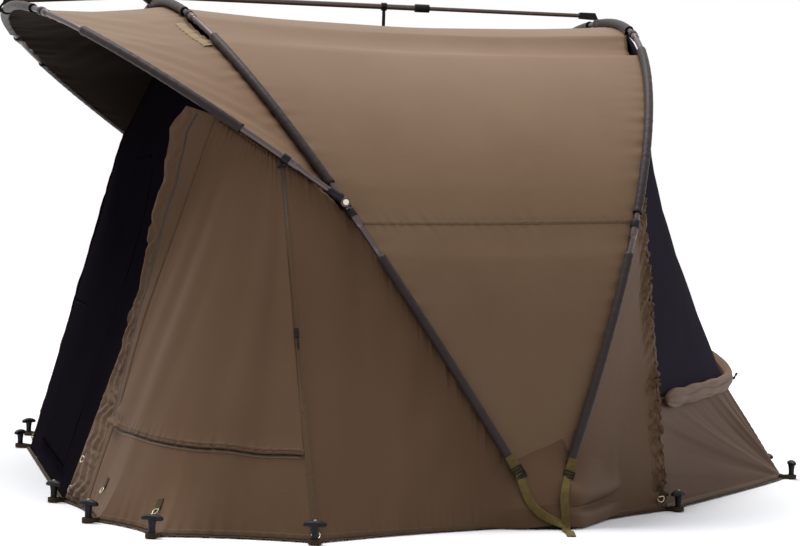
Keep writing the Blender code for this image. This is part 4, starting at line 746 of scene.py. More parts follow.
def hem_line(corners, knots, where, bow):
    """The hem on the ground: straight runs between corners, each drawn inwards by a parabola."""
    points = between_points(where, knots, corners)
    run = np.clip(np.searchsorted(knots, where, side="right") - 1, 0, len(knots) - 2)
    first, last = np.asarray(knots, float)[run], np.asarray(knots, float)[run + 1]
    share = (where - first) / (last - first)
    along = corners[run + 1] - corners[run]
    side = unit(np.stack([-along[:, 1], along[:, 0]], 1))
    middle = (corners[run + 1] + corners[run]) / 2 - np.array((0.0, HUB_Y))
    side *= -np.sign(np.sum(side * middle, axis=1, keepdims=True))
    points = points + side * (bow * 4 * share * (1 - share))[:, None]
    return np.concatenate([points, np.full((len(where), 1), GROUND_CLEAR)], 1)


def wall_edges(where):
    """The wall's top and bottom edges on the +X side; where runs from 0 at the door to its end."""
    bottom = hem_line(HEM_CORNERS, HEM_KNOTS, where, HEM_BOW)
    door, seam = DOOR_PLACE * PEAK["half"], SEAM_PLACE * PEAK["half"]
    gap = SWIVEL_CLOTH_GAP
    peak = np.interp(where, (0, 8, 9, 10), (door, seam, (seam + gap) / 2, gap))
    front = np.interp(where, (11, WALL_END), (SWIVEL - gap / 2, TIP))
    drop = np.interp(where, (11, 12), (0.008, 0.0))
    high = edge_of(PEAK, peak, bottom)
    low = edge_of(FRONT, front, bottom, drop)
    mix = np.clip(where - 10.0, 0.0, 1.0)[:, None]
    return high * (1 - mix) + low * mix, bottom


def softened(line, reach):
    """A line with its corners eased: a running mean that keeps both ends where they are."""
    wide = np.pad(line, ((reach, reach), (0, 0)), mode="reflect", reflect_type="odd")
    window = np.hanning(2 * reach + 1)
    return np.stack([np.convolve(wide[:, k], window / window.sum(), "valid") for k in range(3)], 1)


def wall_grid(columns, rows):
    """The wall from top to hem; above the hem its corners fade out, but not along the window seam."""
    where = np.linspace(0.0, WALL_END, columns)
    high, low = wall_edges(where)
    part = np.linspace(0.0, 1.0, rows)[:, None]
    at_seam = np.exp(-((where - WINDOW_SEAM) ** 2) / 0.8)[None, :]
    sharp = np.maximum(part**14, at_seam)[:, :, None]
    low = softened(low, columns // 7)[None] * (1 - sharp) + low[None] * sharp
    high = softened(high, columns // 40)[None]
    return high * (1 - part[:, :, None]) + low * part[:, :, None], where[None, :], part


def wall_pull(grid, where, part, side):
    """How far the wall stands in or out: a hollow between its edges, and folds that run to the pegs."""
    span, metres = ruling_length(grid), where * 0.16
    hollow = -0.010 * np.sin(np.pi * part) * np.sin(np.pi * np.clip(where / WALL_END, 0, 1)) ** 0.5
    folds = 0.0030 * np.sin(np.pi * part) ** 0.7 * waves(metres + 0.20 * part, 31 + side, 0.45)
    top_puckers = 0.0028 * np.exp(-part * span / 0.05) * waves(metres, 33 + side, 0.09)
    low_puckers = 0.0020 * np.exp(-(1 - part) * span / 0.04) * waves(metres, 35 + side, 0.08)
    creases = np.zeros_like(grid[..., 0])
    for knot in HEM_KNOTS[1:4]:
        spread = 0.20 + 1.6 * (1 - part)
        ridge = hump(where - knot, spread) * np.cos(2.6 * (where - knot) / spread)
        creases += 0.0040 * ridge * part**2 * (1.1 - part)
    hub_folds = hump(where - 15.0 + 3.0 * part, 1.6) * np.sin(3.0 * where + 9.0 * part)
    return hollow + folds + top_puckers + low_puckers + creases + 0.004 * hub_folds * np.sin(np.pi * part)


grid, where, part = wall_grid(420, 110)
out = normals(grid)
weights = (1.0 - np.clip(where - 10.0, 0.0, 1.0)) * (1 - part)
for side, hand in SIDES:
    shaped = on_side(grid + out * wall_pull(grid, where, part, side)[..., None], side)
    carriers = [f"tube_peak_rib_side_{hand}", f"tube_front_rib_leg_{hand}"]
    names = f"wall_panel_{hand}", f"wall_{hand}"
    sew(*names, shaped, SHADED_WALL_CLOTH, "peak_rib", weights, f"front_wall_{hand}", carriers)


# The tail. Two side panels run from the hubs back to upright seams, and between them the mesh window
# stands over a cloth skirt that is drawn out to a point on the ground.
REAR_SEAM = 0.459 * REAR["half"]
REAR_CORNERS = np.array([(1.252, 0.188), (0.9165, 0.5535)])
TAIL_REACH, SILL_REACH, SILL_HEIGHT = 1.100, 0.890, 0.310
SILL_SHARE = 0.332
TAIL_COLUMNS, NET_ROWS, SKIRT_ROWS = 260, 70, 60


def nose_line(corner, reach, height, softness, columns):
    """Straight sides that meet in a rounded nose: y falls with (sqrt(c^2 + s^2) - s) across it."""
    base = np.sqrt(1.0 + softness**2) - softness
    rise = 1.0 - (np.sqrt(columns**2 + softness**2) - softness) / base
    y = corner[1] + (HUB_Y + reach - corner[1]) * rise
    return np.stack([corner[0] * columns, y, np.full_like(columns, height)], 1)


def rear_lines(count):
    """The tail's top, sill and hem lines, from the +X seam round to the -X seam."""
    places = np.linspace(REAR_SEAM, 2 * REAR["half"] - REAR_SEAM, count)
    tops = on(REAR, places) + on(REAR, places, "inward") * CLOTH_EDGE
    columns = tops[:, 0] / tops[0, 0]
    corner = np.array((*REAR_CORNERS[1], GROUND_CLEAR))
    drop = (tops[0, 2] - SILL_HEIGHT) / (tops[0, 2] - GROUND_CLEAR)
    shoulder = tops[0] * (1 - drop) + corner * drop
    sill = nose_line(shoulder, SILL_REACH, SILL_HEIGHT, 0.14, columns)
    hem = nose_line(corner, TAIL_REACH, GROUND_CLEAR, 0.10, columns)
    return edge_of(REAR, places, sill), sill, hem


def gusset_grid(columns, rows):
    """The side panel of the tail on the +X side, from the hub back to the seam."""
    where = np.linspace(0.0, 1.0, columns)
    low = hem_line(REAR_CORNERS, (0, 1), where, HEM_BOW / 2)
    high = edge_of(REAR, TIP + (REAR_SEAM - TIP) * where, low)
    return between(high, low, rows), where[None, :], np.linspace(0.0, 1.0, rows)[:, None]


grid, where, part = gusset_grid(120, 110)
out = normals(grid)
weights = np.broadcast_to(1 - part, grid.shape[:2])
for side, hand in SIDES:
    pull = 0.0030 * np.sin(np.pi * part) * waves(where * 0.5 + 0.35 * part, 41 + side, 0.60, 3)
    near_seam = np.exp(-(((1 - where) * 0.5 / 0.062) ** 4))
    wander = 0.010 * waves(part + 3.0 * where, 44 + side, 0.30) + 0.010 * waves(part - 4.0 * where, 46, 0.30)
    pull = pull + 0.0085 * near_seam * waves(part + wander, 43 + side, 0.052, 8)
    pull = pull - 0.006 * np.sin(np.pi * part) * np.sin(np.pi * where)
    shaped = on_side(grid + out * pull[..., None], side)
    carriers = [f"tube_rear_rib_leg_{hand}", f"tube_rear_rib_shoulder_{hand}"]
    names = f"tail_side_panel_{hand}", f"tail_side_{hand}"
    sew(*names, shaped, SHADED_WALL_CLOTH, "rear_rib", weights, f"rear_gusset_{hand}", carriers)

tops, sill, hem = rear_lines(TAIL_COLUMNS)
window = between(tops, sill, NET_ROWS)
part = np.linspace(0.0, 1.0, NET_ROWS)[:, None]
across = np.linspace(0.0, 2.2, TAIL_COLUMNS)[None, :]
pull = -0.014 * np.sin(np.pi * part) + 0.004 * np.sin(np.pi * part) * waves(across + part, 51, 0.5)
window = window + normals(window) * pull[..., None]
weights = 1.0 - (1.0 - SILL_SHARE) * np.broadcast_to(part, pull.shape)
as_net = {"thickness": 0.0006, "slot": "black_mesh"}
names, carriers = ("tail_window_net", "tail_window"), ["tube_rear_rib_crown"]
sew(*names, window, LIT_TAIL_NET, "rear_rib", weights, "rear_window_mesh", carriers, **as_net)

skirt = between(sill, hem, SKIRT_ROWS)
part = np.linspace(0.0, 1.0, SKIRT_ROWS)[:, None]
across = travelled(hem)[None, :]
away = np.abs(across - across[0, -1] / 2)
fan = np.arctan2(1.04 - part, away / 0.55)
held = np.sin(np.pi * part) ** 0.7 * np.clip(away / 0.10, 0, 1)
pull = 0.0070 * held * waves(fan, 53, 0.70, 4)
pull = pull - 0.0075 * held * np.abs(np.sin(5.2 * fan + 0.9 * waves(fan, 57, 0.6))) ** 7
pull = pull + 0.0022 * held * waves(fan, 59, 0.14, 5)
skirt = skirt + normals(skirt) * pull[..., None]
weights = SILL_SHARE * (1 - np.broadcast_to(part, pull.shape))
names, carriers = ("tail_skirt", "tail_skirt"), ["tail_window_net"]
sew(*names, skirt, SHADED_SKIRT_CLOTH, "rear_rib", weights, "rear_skirt", carriers)


# The storm flap of the tail window, let down, folded and rolled flat and tied on the sill: a soft
# roll of the brown cloth with long folds in it, which rides up the net beyond the nose.
ROLL_SIDES = 56
ROLL_FOLDS = ((0.35, 0.34), (3.6, 0.26), (5.2, 0.20))


def rolled_cloth(name, centres, across, up, radii, seed, folds, finish):
    """A roll: radius * (1 + low folds that wander round it as they run along it)."""
    turns = np.linspace(0.0, 2 * np.pi, ROLL_SIDES, endpoint=False)[None, :]
    along = travelled(centres)[:, None]
    wander = 2.2 * waves(along, seed, 0.5)
    shape = 1.0 + 0.10 * np.sin(folds * turns + 1.2 * wander) + 0.05 * np.sin(2 * turns - wander)
    shape += 0.045 * waves(along, seed + 1, 0.30) + 0.030 * np.sin(9 * turns + 4 * along + wander)
    for start, depth in ROLL_FOLDS:
        turned = (turns - start - 0.35 * waves(along, seed + 2, 0.9, 3) + np.pi) % (2 * np.pi) - np.pi
        shape -= depth * hump(turned, 0.17)
    ends = np.clip(np.minimum(along, along[-1] - along) / 0.11, 0.0, 1.0)
    shape *= np.sqrt(ends * (2 - ends)) * 0.85 + 0.15
    grid = round_section(centres, across, up, radii[:, None] * shape, ROLL_SIDES)
    return surface(name, grid, finish, around=True, capped=True)


run = unit(np.gradient(sill, axis=0))
outwards = np.stack([-run[:, 1], run[:, 0], np.zeros(len(run))], 1)
outwards *= np.sign(np.sum(outwards[:, :2] * (sill[:, :2] - np.array((0, HUB_Y))), axis=1))[:, None]
kept = slice(2, -2)
beyond = hump(sill[kept, 0] + 0.14, 0.15)
roll_line = sill[kept] + outwards[kept] * 0.018
roll_line += np.array((0.0, -0.016, 0.066)) * beyond[:, None] - np.array((0.0, 0.0, 0.004))
up = np.tile((0.0, 0.0, 1.0), (len(roll_line), 1))
shape_of_roll = (outwards[kept] * 0.60, up, 0.025 + 0.007 * beyond, 61, 3, SHADED_WALL_CLOTH)
roll = rolled_cloth("tail_flap_roll", roll_line, *shape_of_roll)
bend_with(roll)
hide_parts("rear_flap_roll")


# The door. A mesh front is sewn into the doorway, and a D-shaped mesh flap in it swings out on its
# straight side; a two-way coil zip closes it.
DOOR_ORIGIN = np.array((0.0, -1.071, GROUND_CLEAR))
DOOR_UP = np.array((0.0, 0.29162, 0.95653))
DOOR_OUT = np.array((0.0, -0.95653, 0.29162))
FLAP_HALF, FLAP_LOW, FLAP_HEIGHT, FLAP_SHOULDER = 0.430, 0.060, 0.930, 0.55
NET_MIDDLE = (-0.05, 0.5)


def in_door(x, y, z=0.0):
    """A point of the doorway's sloping plane: x across, y up the slope, z outwards."""
    x, y, z = np.broadcast_arrays(x, y, z)
    flat = DOOR_ORIGIN + y[..., None] * DOOR_UP + z[..., None] * DOOR_OUT
    return flat + x[..., None] * np.array((1.0, 0.0, 0.0))


def door_top():
    """Where the doorway's plane meets the hood and, in the middle, the roof, as (x, y) in the plane."""
    found = []
    for cloth in (PANELS["hood"][0], plain_roof):
        height = (cloth - DOOR_ORIGIN) @ DOOR_OUT
        flips = np.diff(np.sign(height), axis=0) != 0
        columns = np.flatnonzero(flips.any(axis=0))
        rows = flips[:, columns].argmax(axis=0)
        one, two = height[rows, columns], height[rows + 1, columns]
        share = (one / (one - two))[:, None]
        points = cloth[rows, columns] * (1 - share) + cloth[rows + 1, columns] * share
        found.append(points - DOOR_ORIGIN)
    points = np.concatenate(found)
    points = points[points[:, 2] > 0.95]
    points = points[np.argsort(points[:, 0])]
    return points[:, 0], points @ DOOR_UP


top_x, top_y = door_top()
CORNER_X, CORNER_Y = 1.085, 1.094
line_x = np.concatenate([[-CORNER_X], np.linspace(-1.06, 1.06, 160), [CORNER_X]])
line_y = np.interp(line_x, top_x, top_y) - 0.003
line_y[[0, -1]] = CORNER_Y
FOOT_X = 0.7325


def evenly(x, y, count):
    """An outline of (x, y) points at even steps, its own corners kept."""
    length = travelled(np.stack([x, y], 1))
    even = np.unique(np.concatenate([np.linspace(0, length[-1], count), length]))
    return np.interp(even, length, x), np.interp(even, length, y)


def door_outline():
    """The doorway's edge, from its +X foot up, over and down to the -X foot, and back along the sill."""
    x = np.concatenate([[FOOT_X], line_x[::-1], [-FOOT_X], [FOOT_X]])
    y = np.concatenate([[0.001], line_y[::-1], [0.001], [0.001]])
    return evenly(x, y, 1200)


def flap_right(y):
    """The flap's free side: straight, then a quarter of an ellipse over the shoulder."""
    shoulder = FLAP_LOW + FLAP_HEIGHT * FLAP_SHOULDER
    rise = np.clip((y - shoulder) / (FLAP_LOW + FLAP_HEIGHT - shoulder), 0.0, 1.0)
    return FLAP_HALF - 2 * FLAP_HALF * FLAP_SHOULDER * (1 - np.sqrt(1 - rise**2))


def flap_outline():
    """The flap's edge as (x, y), from its foot at the hinge round to it again."""
    y = FLAP_LOW + FLAP_HEIGHT * np.sin(np.linspace(0.0, np.pi / 2, 160))
    x = np.concatenate([[-FLAP_HALF], flap_right(y), [-FLAP_HALF, -FLAP_HALF]])
    return evenly(x, np.concatenate([[FLAP_LOW], y, [FLAP_LOW + FLAP_HEIGHT, FLAP_LOW]]), 400)


def turn_of(x, y):
    """The direction of a point of the doorway from the net's middle."""
    return np.arctan2(y - NET_MIDDLE[1], x - NET_MIDDLE[0])


def polar(x, y, turns):
    """How far a closed outline lies from the net's middle in each direction."""
    order = np.argsort(turn_of(x, y))
    away = np.hypot(x - NET_MIDDLE[0], y - NET_MIDDLE[1])
    return np.interp(turns, turn_of(x, y)[order], away[order], period=2 * np.pi)


def hang_net(name, grid, x, y, body, stands_for):
    """A sheet of net in the doorway, its UV map the doorway's own plane."""
    piece = surface(name, grid, DOOR_NET, uv=np.stack(np.broadcast_arrays(x, y), -1))
    thicken(piece, 0.0006)
    return dress(piece, body, "black_mesh", stands_for)


corners = [(FOOT_X, 0.001), (-FOOT_X, 0.001), (CORNER_X, CORNER_Y), (-CORNER_X, CORNER_Y)]
corners += [(-FLAP_HALF, FLAP_LOW), (FLAP_HALF, FLAP_LOW), (-FLAP_HALF, FLAP_LOW + FLAP_HEIGHT)]
turns = np.linspace(-np.pi, np.pi, 480, endpoint=False)
turns = np.unique(np.concatenate([turns, [turn_of(x, y) for x, y in corners]]))
turns = np.append(turns, turns[0])
inner, outer = polar(*flap_outline(), turns), polar(*door_outline(), turns)
share = np.linspace(0.0, 1.0, 24)[:, None]
reach = inner[None, :] * (1 - share) + outer[None, :] * share
x, y = NET_MIDDLE[0] + reach * np.cos(turns), NET_MIDDLE[1] + reach * np.sin(turns)
bulge = -0.006 * np.sin(np.pi * share) + 0.002 * waves(x + 0.7 * y, 71, 0.5)
grid = in_door(x, y, np.minimum(bulge, 0.0))
net = hang_net("door_net", grid, x, y, "tent", "door_mesh")
doorway = round(float(np.ptp(grid[..., 0])), 2), round(float(np.ptp(grid @ DOOR_UP)), 2)
carriers = ["wall_panel_right", "wall_panel_left", "hood_panel"]
declare(net, grid[:, :-1], doorway)

y = (FLAP_LOW + FLAP_HEIGHT * np.linspace(0.0, 1.0, 60))[:, None]
share = np.linspace(0.0, 1.0, 40)[None, :]
x = -FLAP_HALF + (flap_right(y) + FLAP_HALF) * share
bulge = 0.004 * np.sin(np.pi * share) * np.sin(np.pi * (y - FLAP_LOW) / FLAP_HEIGHT)
grid = in_door(x, y, bulge)
declare(hang_net("door_flap_net", grid, x, y, "door_flap", "door_flap"), grid)


# The hub covers. Between the walls a loose piece of the same cloth hangs from the roof's tip, passes
# outside each hub and keeps the draught out; it is hemmed and falls in soft folds.
HUB_OUTSIDE = 1.3255
COVER_TOP, COVER_FOOT, COVER_LEFT, COVER_RIGHT = 0.400, 0.990, 0.885, 0.66
RIM_LEFT, RIM_RIGHT, CLOTH_PROUD = 0.24, 0.30, 0.0036
FOOT_PLACES, TOP_PLACES = (0.0, 0.24, 0.33, 0.41, 0.49, 0.56, 0.76, 1.0), (0.0, 0.30, 0.46, 0.60, 1.0)


def pick(grid, across, down):
    """Points of a sheet at shares of the way across and down it, between its grid's own points."""
    rows, columns = grid.shape[:2]
    across, down = np.broadcast_arrays(across, down)
    x, y = np.clip(across, 0, 1) * (columns - 1), np.clip(down, 0, 1) * (rows - 1)
    column, row = np.minimum(x.astype(int), columns - 2), np.minimum(y.astype(int), rows - 2)
    x, y = x - column, y - row
    if grid.ndim == 3:
        x, y = x[..., None], y[..., None]
    upper = grid[row, column] * (1 - x) + grid[row, column + 1] * x
    lower = grid[row + 1, column] * (1 - x) + grid[row + 1, column + 1] * x
    return upper * (1 - y) + lower * y


def eased(share):
    """A share from 0 to 1 that starts and ends gently: 3 s^2 - 2 s^3."""
    return share * share * (3 - 2 * share)


def hub_cover(hand, side):
    """A sheet from wall to tail whose lower half stands out round the hub, eased between the two."""
    across, part = np.linspace(0.0, 1.0, 150)[None, :], np.linspace(0.0, 1.0, 110)[:, None]
    front, rear = PANELS["wall_right"][0], PANELS["tail_side_right"][0]
    down = COVER_TOP + (COVER_FOOT - COVER_TOP) * part
    left, right = pick(front, COVER_LEFT, down), pick(rear, COVER_RIGHT, down)
    nearer = pick(rear, 0.42, COVER_FOOT) + np.array((0.010, 0.0, 0.0))
    low = [left[-1, 0], (1.3285, 0.035, 0.004), (HUB_OUTSIDE, 0.075, 0.006), (HUB_OUTSIDE, 0.119, 0.013)]
    low += [(HUB_OUTSIDE, 0.165, 0.007), (1.318, 0.195, 0.004), nearer, right[-1, 0]]
    foot = softened(between_points(across[0], FOOT_PLACES, low), 9)
    high = [left[0, 0], (1.262, 0.020, 0.245), (1.250, 0.105, 0.250), (1.250, 0.170, 0.245), right[0, 0]]
    top = softened(between_points(across[0], TOP_PLACES, high), 12)
    out_share = np.clip(eased(part) * 1.15, 0.0, 1.0)[..., None]
    middle = top[None] * (1 - out_share) + foot[None] * out_share
    middle[..., 2] = top[None, :, 2] * (1 - part) + foot[None, :, 2] * part
    rim = eased(np.clip(np.minimum(across / RIM_LEFT, (1 - across) / RIM_RIGHT), 0.0, 1.0))
    by_wall = pick(front, np.minimum(COVER_LEFT + 0.40 * across, 0.985), down)
    by_tail = pick(rear, np.maximum(COVER_RIGHT - 1.30 * (1 - across), 0.01), down)
    beside = np.where(across[..., None] < 0.5, by_wall, by_tail)
    grid = beside * (1 - rim[..., None]) + middle * rim[..., None]
    folds = 0.0030 * waves(across * 0.36 + 0.15 * part, 81 + side, 0.20) * np.sin(np.pi * part) ** 0.5
    level = grid[..., 2] - 0.010 * np.sin(7.0 * across)
    swag = 0.010 * hump(level - 0.098, 0.024) - 0.022 * hump(level - 0.062, 0.013)
    swag *= np.exp(-(((across - 0.72) / 0.24) ** 4))
    lift = (folds + swag) * rim + CLOTH_PROUD * rim - 0.0014
    grid = on_side(grid + normals(grid) * lift[..., None], side)
    piece = sheet(f"hub_cover_{hand}", grid, SHADED_WALL_CLOTH, 0.0009)
    bend_with(piece)
    declare(piece, grid)


for side, hand in SIDES:
    hub_cover(hand, side)


# The seams. Every panel is joined by a flat-felled seam, a doubled band of the cloth stitched down on
# both edges, and it puckers a little along the thread.
def on_panel(panel, across, down, step=0.005):
    """A line on a panel at even steps: its points, outward directions and blending weights."""
    grid, weights, _ = PANELS[panel]
    fine = np.linspace(0.0, 1.0, 240)
    route = [np.interp(fine, np.linspace(0, 1, len(share)), share) for share in (across, down)]
    length = travelled(pick(grid, *route))
    even = np.linspace(0.0, length[-1], max(int(length[-1] / step), 8))
    route = [np.interp(even, length, share) for share in route]
    return pick(grid, *route), unit(pick(normals(grid), *route)), pick(weights, *route)


def ribbon(line, face, profile, wander=0.0, seed=0):
    """A grid along a line: each profile point is (sideways, outwards), its rim drawn in and out."""
    ahead = unit(np.gradient(line, axis=0))
    face = unit(face - ahead * np.sum(face * ahead, axis=1, keepdims=True))
    aside = np.cross(ahead, face)
    along = travelled(line)[:, None]
    sideways, outwards = (np.array(profile)[:, k][None, :] for k in (0, 1))
    rim = np.abs(sideways) / np.abs(sideways).max()
    outwards = outwards + wander * rim**2 * waves(along + 0.02 * np.sign(sideways), seed, 0.035)
    return line[:, None] + aside[:, None] * sideways[..., None] + face[:, None] * outwards[..., None]


def stitched_band(name, colour, stitch_mm):
    """A doubled band of the same cloth, with a row of thread near each edge, drawn at its own pitch."""
    made = coated_cloth(name, *colour, 22.0, 0.30, 0.55)
    tree = made.node_tree
    shader = next(item for item in tree.nodes if item.type == "BSDF_PRINCIPLED")
    uv = node(tree, "ShaderNodeTexCoord").outputs["UV"]
    across = node(tree, "ShaderNodeSeparateXYZ", {0: uv}).outputs["X"]
    edge = maths(tree, "LESS_THAN", across, 0.0018)
    thread = maths(tree, "MULTIPLY", bands(tree, uv, stitch_mm, "Y"), edge)
    under = shader.inputs["Normal"].links[0].from_socket
    tree.links.new(bump(tree, thread, 0.5, 0.0006, under), shader.inputs["Normal"])
    return made


# The seams off the roof are the roof seam's band, darker by painted shade as the walls are.
SHADED_SEAM_CLOTH = stitched_band("felled_seam_of_brown_polyester_in_painted_shade", ("#5E4936", "#69533F"), 4.0)
ROOF_SEAM_CLOTH = stitched_band("felled_seam_of_the_roof", ("#6F5842", "#7A624B"), 4.0)


def seam(name, panel, across, down, width=0.011, finish=SHADED_SEAM_CLOTH, height=0.0014, wander=0.0008):
    """A felled seam along a line of a panel: low and flat, with rounded, puckered edges."""
    line, face, weights = on_panel(panel, across, down)
    sides = np.array((-1.0, -0.92, -0.6, 0.0, 0.6, 0.92, 1.0)) * width / 2
    tops = np.array((0.0002, 0.8, 1.0, 1.05, 1.0, 0.8, 0.0002)) * height
    grid = ribbon(line, face, np.stack([sides, tops], 1), wander, 90 + len(name))
    piece = surface(name, grid, finish)
    bend_with(piece)


MOST = (0.004, 0.996)
SEAM_LINES = {}
for side, hand in SIDES:
    place = SEAM_SHARE if side > 0 else 1 - SEAM_SHARE
    seam(f"roof_seam_{hand}", "roof", (place, place), MOST, finish=ROOF_SEAM_CLOTH)
    wall, tail, middle = f"wall_{hand}", f"tail_side_{hand}", WINDOW_SEAM / WALL_END
    SEAM_LINES |= {
        f"wall_seam_{hand}": (wall, (middle, middle), (0.01, 0.985), 0.016),
        f"wall_hem_{hand}": (wall, (0.004, 0.900), (0.989, 0.987), 0.014),
        f"tail_side_seam_{hand}": (tail, (0.985, 0.985), (0.01, 0.985), 0.014),
        f"tail_side_hem_{hand}": (tail, (0.34, 0.990), (0.987, 0.982), 0.014),
    }
SEAM_LINES |= {
    "tail_skirt_hem": ("tail_skirt", MOST, (0.968, 0.968), 0.014),
    "tail_sill_seam": ("tail_skirt", MOST, (0.02, 0.02), 0.012),
    "tail_window_top_seam": ("tail_window", MOST, (0.012, 0.012), 0.012),
}
seam("hood_front_hem", "hood", MOST, (0.012, 0.012), 0.016, ROOF_SEAM_CLOTH)
for seam_name, seam_line in SEAM_LINES.items():
    seam(seam_name, *seam_line)


# The storm flap of the side window. A second panel, sewn on along its top and both sides and zipped
# along its foot, covers the window; the zip gathers its lower edge into small folds.
FLAP_LEFT, FLAP_RIGHT, FLAP_FOOT, WALL_METRES = 0.075, 7.9 / WALL_END, 0.785, 2.7
NARROW, COIL_LIFT = (0.0, 0.3, 0.7, 1.0), 0.0016
PIPING_CLOTH = stitched_band("pale_piping_of_brown_polyester", ("#7A6448", "#8E7655"), 4.0)


def zip_coil(name, pitch_mm):
    """A moulded nylon coil zip: near black, slightly glossy, ridged across at the pitch of its teeth."""
    made, tree, place, uv = new_material(name)
    tint = ramp(tree, noise(tree, place, 25.0, 4.0), "#141114", "#3A332E")
    teeth = bump(tree, bands(tree, uv, pitch_mm, "Y"), 0.8, 0.0008)
    paint = {"Base Color": tint, "Roughness": 0.42, "Normal": teeth}
    return finished(made, "ShaderNodeBsdfPrincipled", paint)


ZIP_COIL = zip_coil("black_nylon_coil_zip", 2.4)


def zip_track(name, panel, across, down, lift=COIL_LIFT):
    """A coil zip on a panel: two narrow woven edges with a rounded coil standing between them."""
    line, face, weights = on_panel(panel, across, down, 0.004)
    sides = np.array((-2.8, -1.7, -1.4, -0.7, 0.0, 0.7, 1.4, 1.7, 2.8)) / 1000
    tops = np.array((0.1, 0.4, 0.9, 1.5, 1.7, 1.5, 0.9, 0.4, 0.1)) / 1000 + lift
    grid = ribbon(line, face, np.stack([sides, tops], 1))
    piece = surface(name, grid, ZIP_COIL)
    bend_with(piece)


def storm_flap(hand, side):
    """The flap over the window: the wall's own shape, a little proud of it, ruffled along its foot."""
    wall, weights, other = PANELS[f"wall_{hand}"]
    across = np.linspace(FLAP_LEFT, FLAP_RIGHT, 220)[None, :]
    share = np.linspace(0.0, 1.0, 120)[:, None]
    metres, from_left = across * WALL_METRES, across - FLAP_LEFT
    foot = FLAP_FOOT + 0.0025 * waves(metres, 101, 0.50) - 0.012 * hump(from_left, 0.02)
    down = 0.012 + (foot - 0.012) * share
    from_sides = np.minimum(from_left, FLAP_RIGHT - across) * WALL_METRES / 0.012
    rim = np.minimum(from_sides, share / 0.015).clip(0, 1)
    near_foot = np.exp(-(1 - share) / 0.022)
    ruffle = near_foot * (0.003 + 0.0024 * waves(metres + 0.03 * share, 103 + side, 0.075, 8))
    bunch = 0.016 * hump(from_left - 0.012, 0.018) * near_foot * (1 + waves(share * 0.9, 7, 0.05))
    puckers = 0.0012 * waves(metres * 0.3 + share, 105 + side, 0.05) * np.exp(-from_left * WALL_METRES / 0.03)
    drape = 0.0025 * waves(metres + 0.35 * share, 107 + side, 0.9, 3) * np.sin(np.pi * share)
    lift = 0.0022 * np.sqrt(rim) + np.maximum(ruffle, -0.0005) + bunch + np.abs(puckers)
    lift = lift + np.maximum(drape, 0)
    grid = pick(wall, across, down) + unit(pick(normals(wall), across, down)) * lift[..., None]
    names, carriers = (f"window_flap_{hand}", f"window_flap_{hand}"), [f"wall_panel_{hand}"]
    weights = pick(weights, across, down)
    sew(*names, grid, SHADED_WALL_CLOTH, other, weights, None, carriers, thickness=0.0008)
    below = np.linspace(FLAP_LEFT + 0.004, FLAP_RIGHT - 0.004, 40)
    foot_line = np.interp(below, across[0], foot[0])
    zip_track(f"window_zip_{hand}", f"wall_{hand}", below, foot_line + 0.0040)
    piping = (f"wall_{hand}", below, foot_line + 0.0075, 0.0036, PIPING_CLOTH, 0.0022, 0.0006)
    seam(f"window_zip_piping_{hand}", *piping)
    seam(f"window_flap_hem_{hand}", f"window_flap_{hand}", NARROW, np.full(4, 0.985), 0.008)


for side, hand in SIDES:
    storm_flap(hand, side)
    zip_track(f"side_zip_{hand}", f"wall_{hand}", np.full(2, WINDOW_SEAM / WALL_END + 0.0062), (0.02, 0.80))


# The storm door. Its two halves are unzipped and gathered back along the edges of the doorway, a band
# of crumpled cloth; on the +X side it hangs from the hood a hand's breadth in front of the net.
def gathered_door(hand, side):
    """A crumpled band from the wall's edge out to a wandering border that leans away from the door."""
    wall, weights, other = PANELS[f"wall_{hand}"]
    share = np.linspace(0.0, 1.0, 420)[:, None]
    across = np.linspace(0.0, 1.0, 52)[None, :]
    reach = np.interp(share, DOOR_SHARES, DOOR_REACHES) if side > 0 else np.full_like(share, 0.002)
    reach = reach + (0.0035 if side > 0 else 0.0006) * waves(share, 111 + side, 0.30)
    low = np.clip((share - 0.48) / 0.30, 0, 1) ** 1.5
    inner = pick(wall, 0.046 + 0.035 * low, 0.006 + 0.975 * share)
    edge = pick(wall, 0.022 * low * (1 - 0.5 * share), 0.006 + 0.975 * share)
    forward = DOOR_OUT * np.array((side, 1.0, 1.0)) + np.array((-0.10 * side, 0.0, -0.10))
    border = edge + forward * np.maximum(reach, 0.0)[..., None] + np.array((-0.006 * side, 0.0, 0.0))
    grid = inner * (1 - across[..., None]) + border * across[..., None]
    face = unit(pick(normals(wall), np.full_like(share, 0.03), share))
    zip_at = np.interp(share, ZIP_SHARES, ZIP_PLACES)
    loose = np.clip((across - zip_at - 0.04) / 0.10, 0, 1) * (1.0 if side > 0 else 0.4)
    slanted = share + 0.012 * across + 0.006 * waves(share + across * 0.3, 3, 0.12)
    crinkles = waves(slanted, 113 + side, 0.034, 9) + 0.8 * waves(slanted - 0.05 * across, 114, 0.10, 5)
    crinkles = crinkles * (1 - 0.75 * across**3)
    long_folds = np.sin(2 * np.pi * (2.7 * across + 0.55 * waves(share, 117 + side, 0.22)))
    rim = np.sqrt(np.clip(across / 0.08, 0, 1))
    lift = rim * (0.0030 + loose * (0.0030 + 0.0015 * crinkles + 0.0030 * long_folds))
    grid = grid + face * np.maximum(lift, 0.0008)[..., None]
    fade = np.broadcast_to(pick(weights, np.full_like(share, 0.02), share), lift.shape)
    names, carriers = (f"storm_door_{hand}", f"storm_door_{hand}"), [f"wall_panel_{hand}", "hood_panel"]
    style = {"held": "gathered", "thickness": 0.0009}
    sew(*names, grid, SHADED_DOOR_CLOTH, other, fade, f"door_edge_roll_{hand}", carriers, **style)
    track = np.linspace(0.01, 0.79, 30)
    zip_track(f"door_side_zip_{hand}", names[0], np.interp(track, ZIP_SHARES, ZIP_PLACES), track, 0.0004)


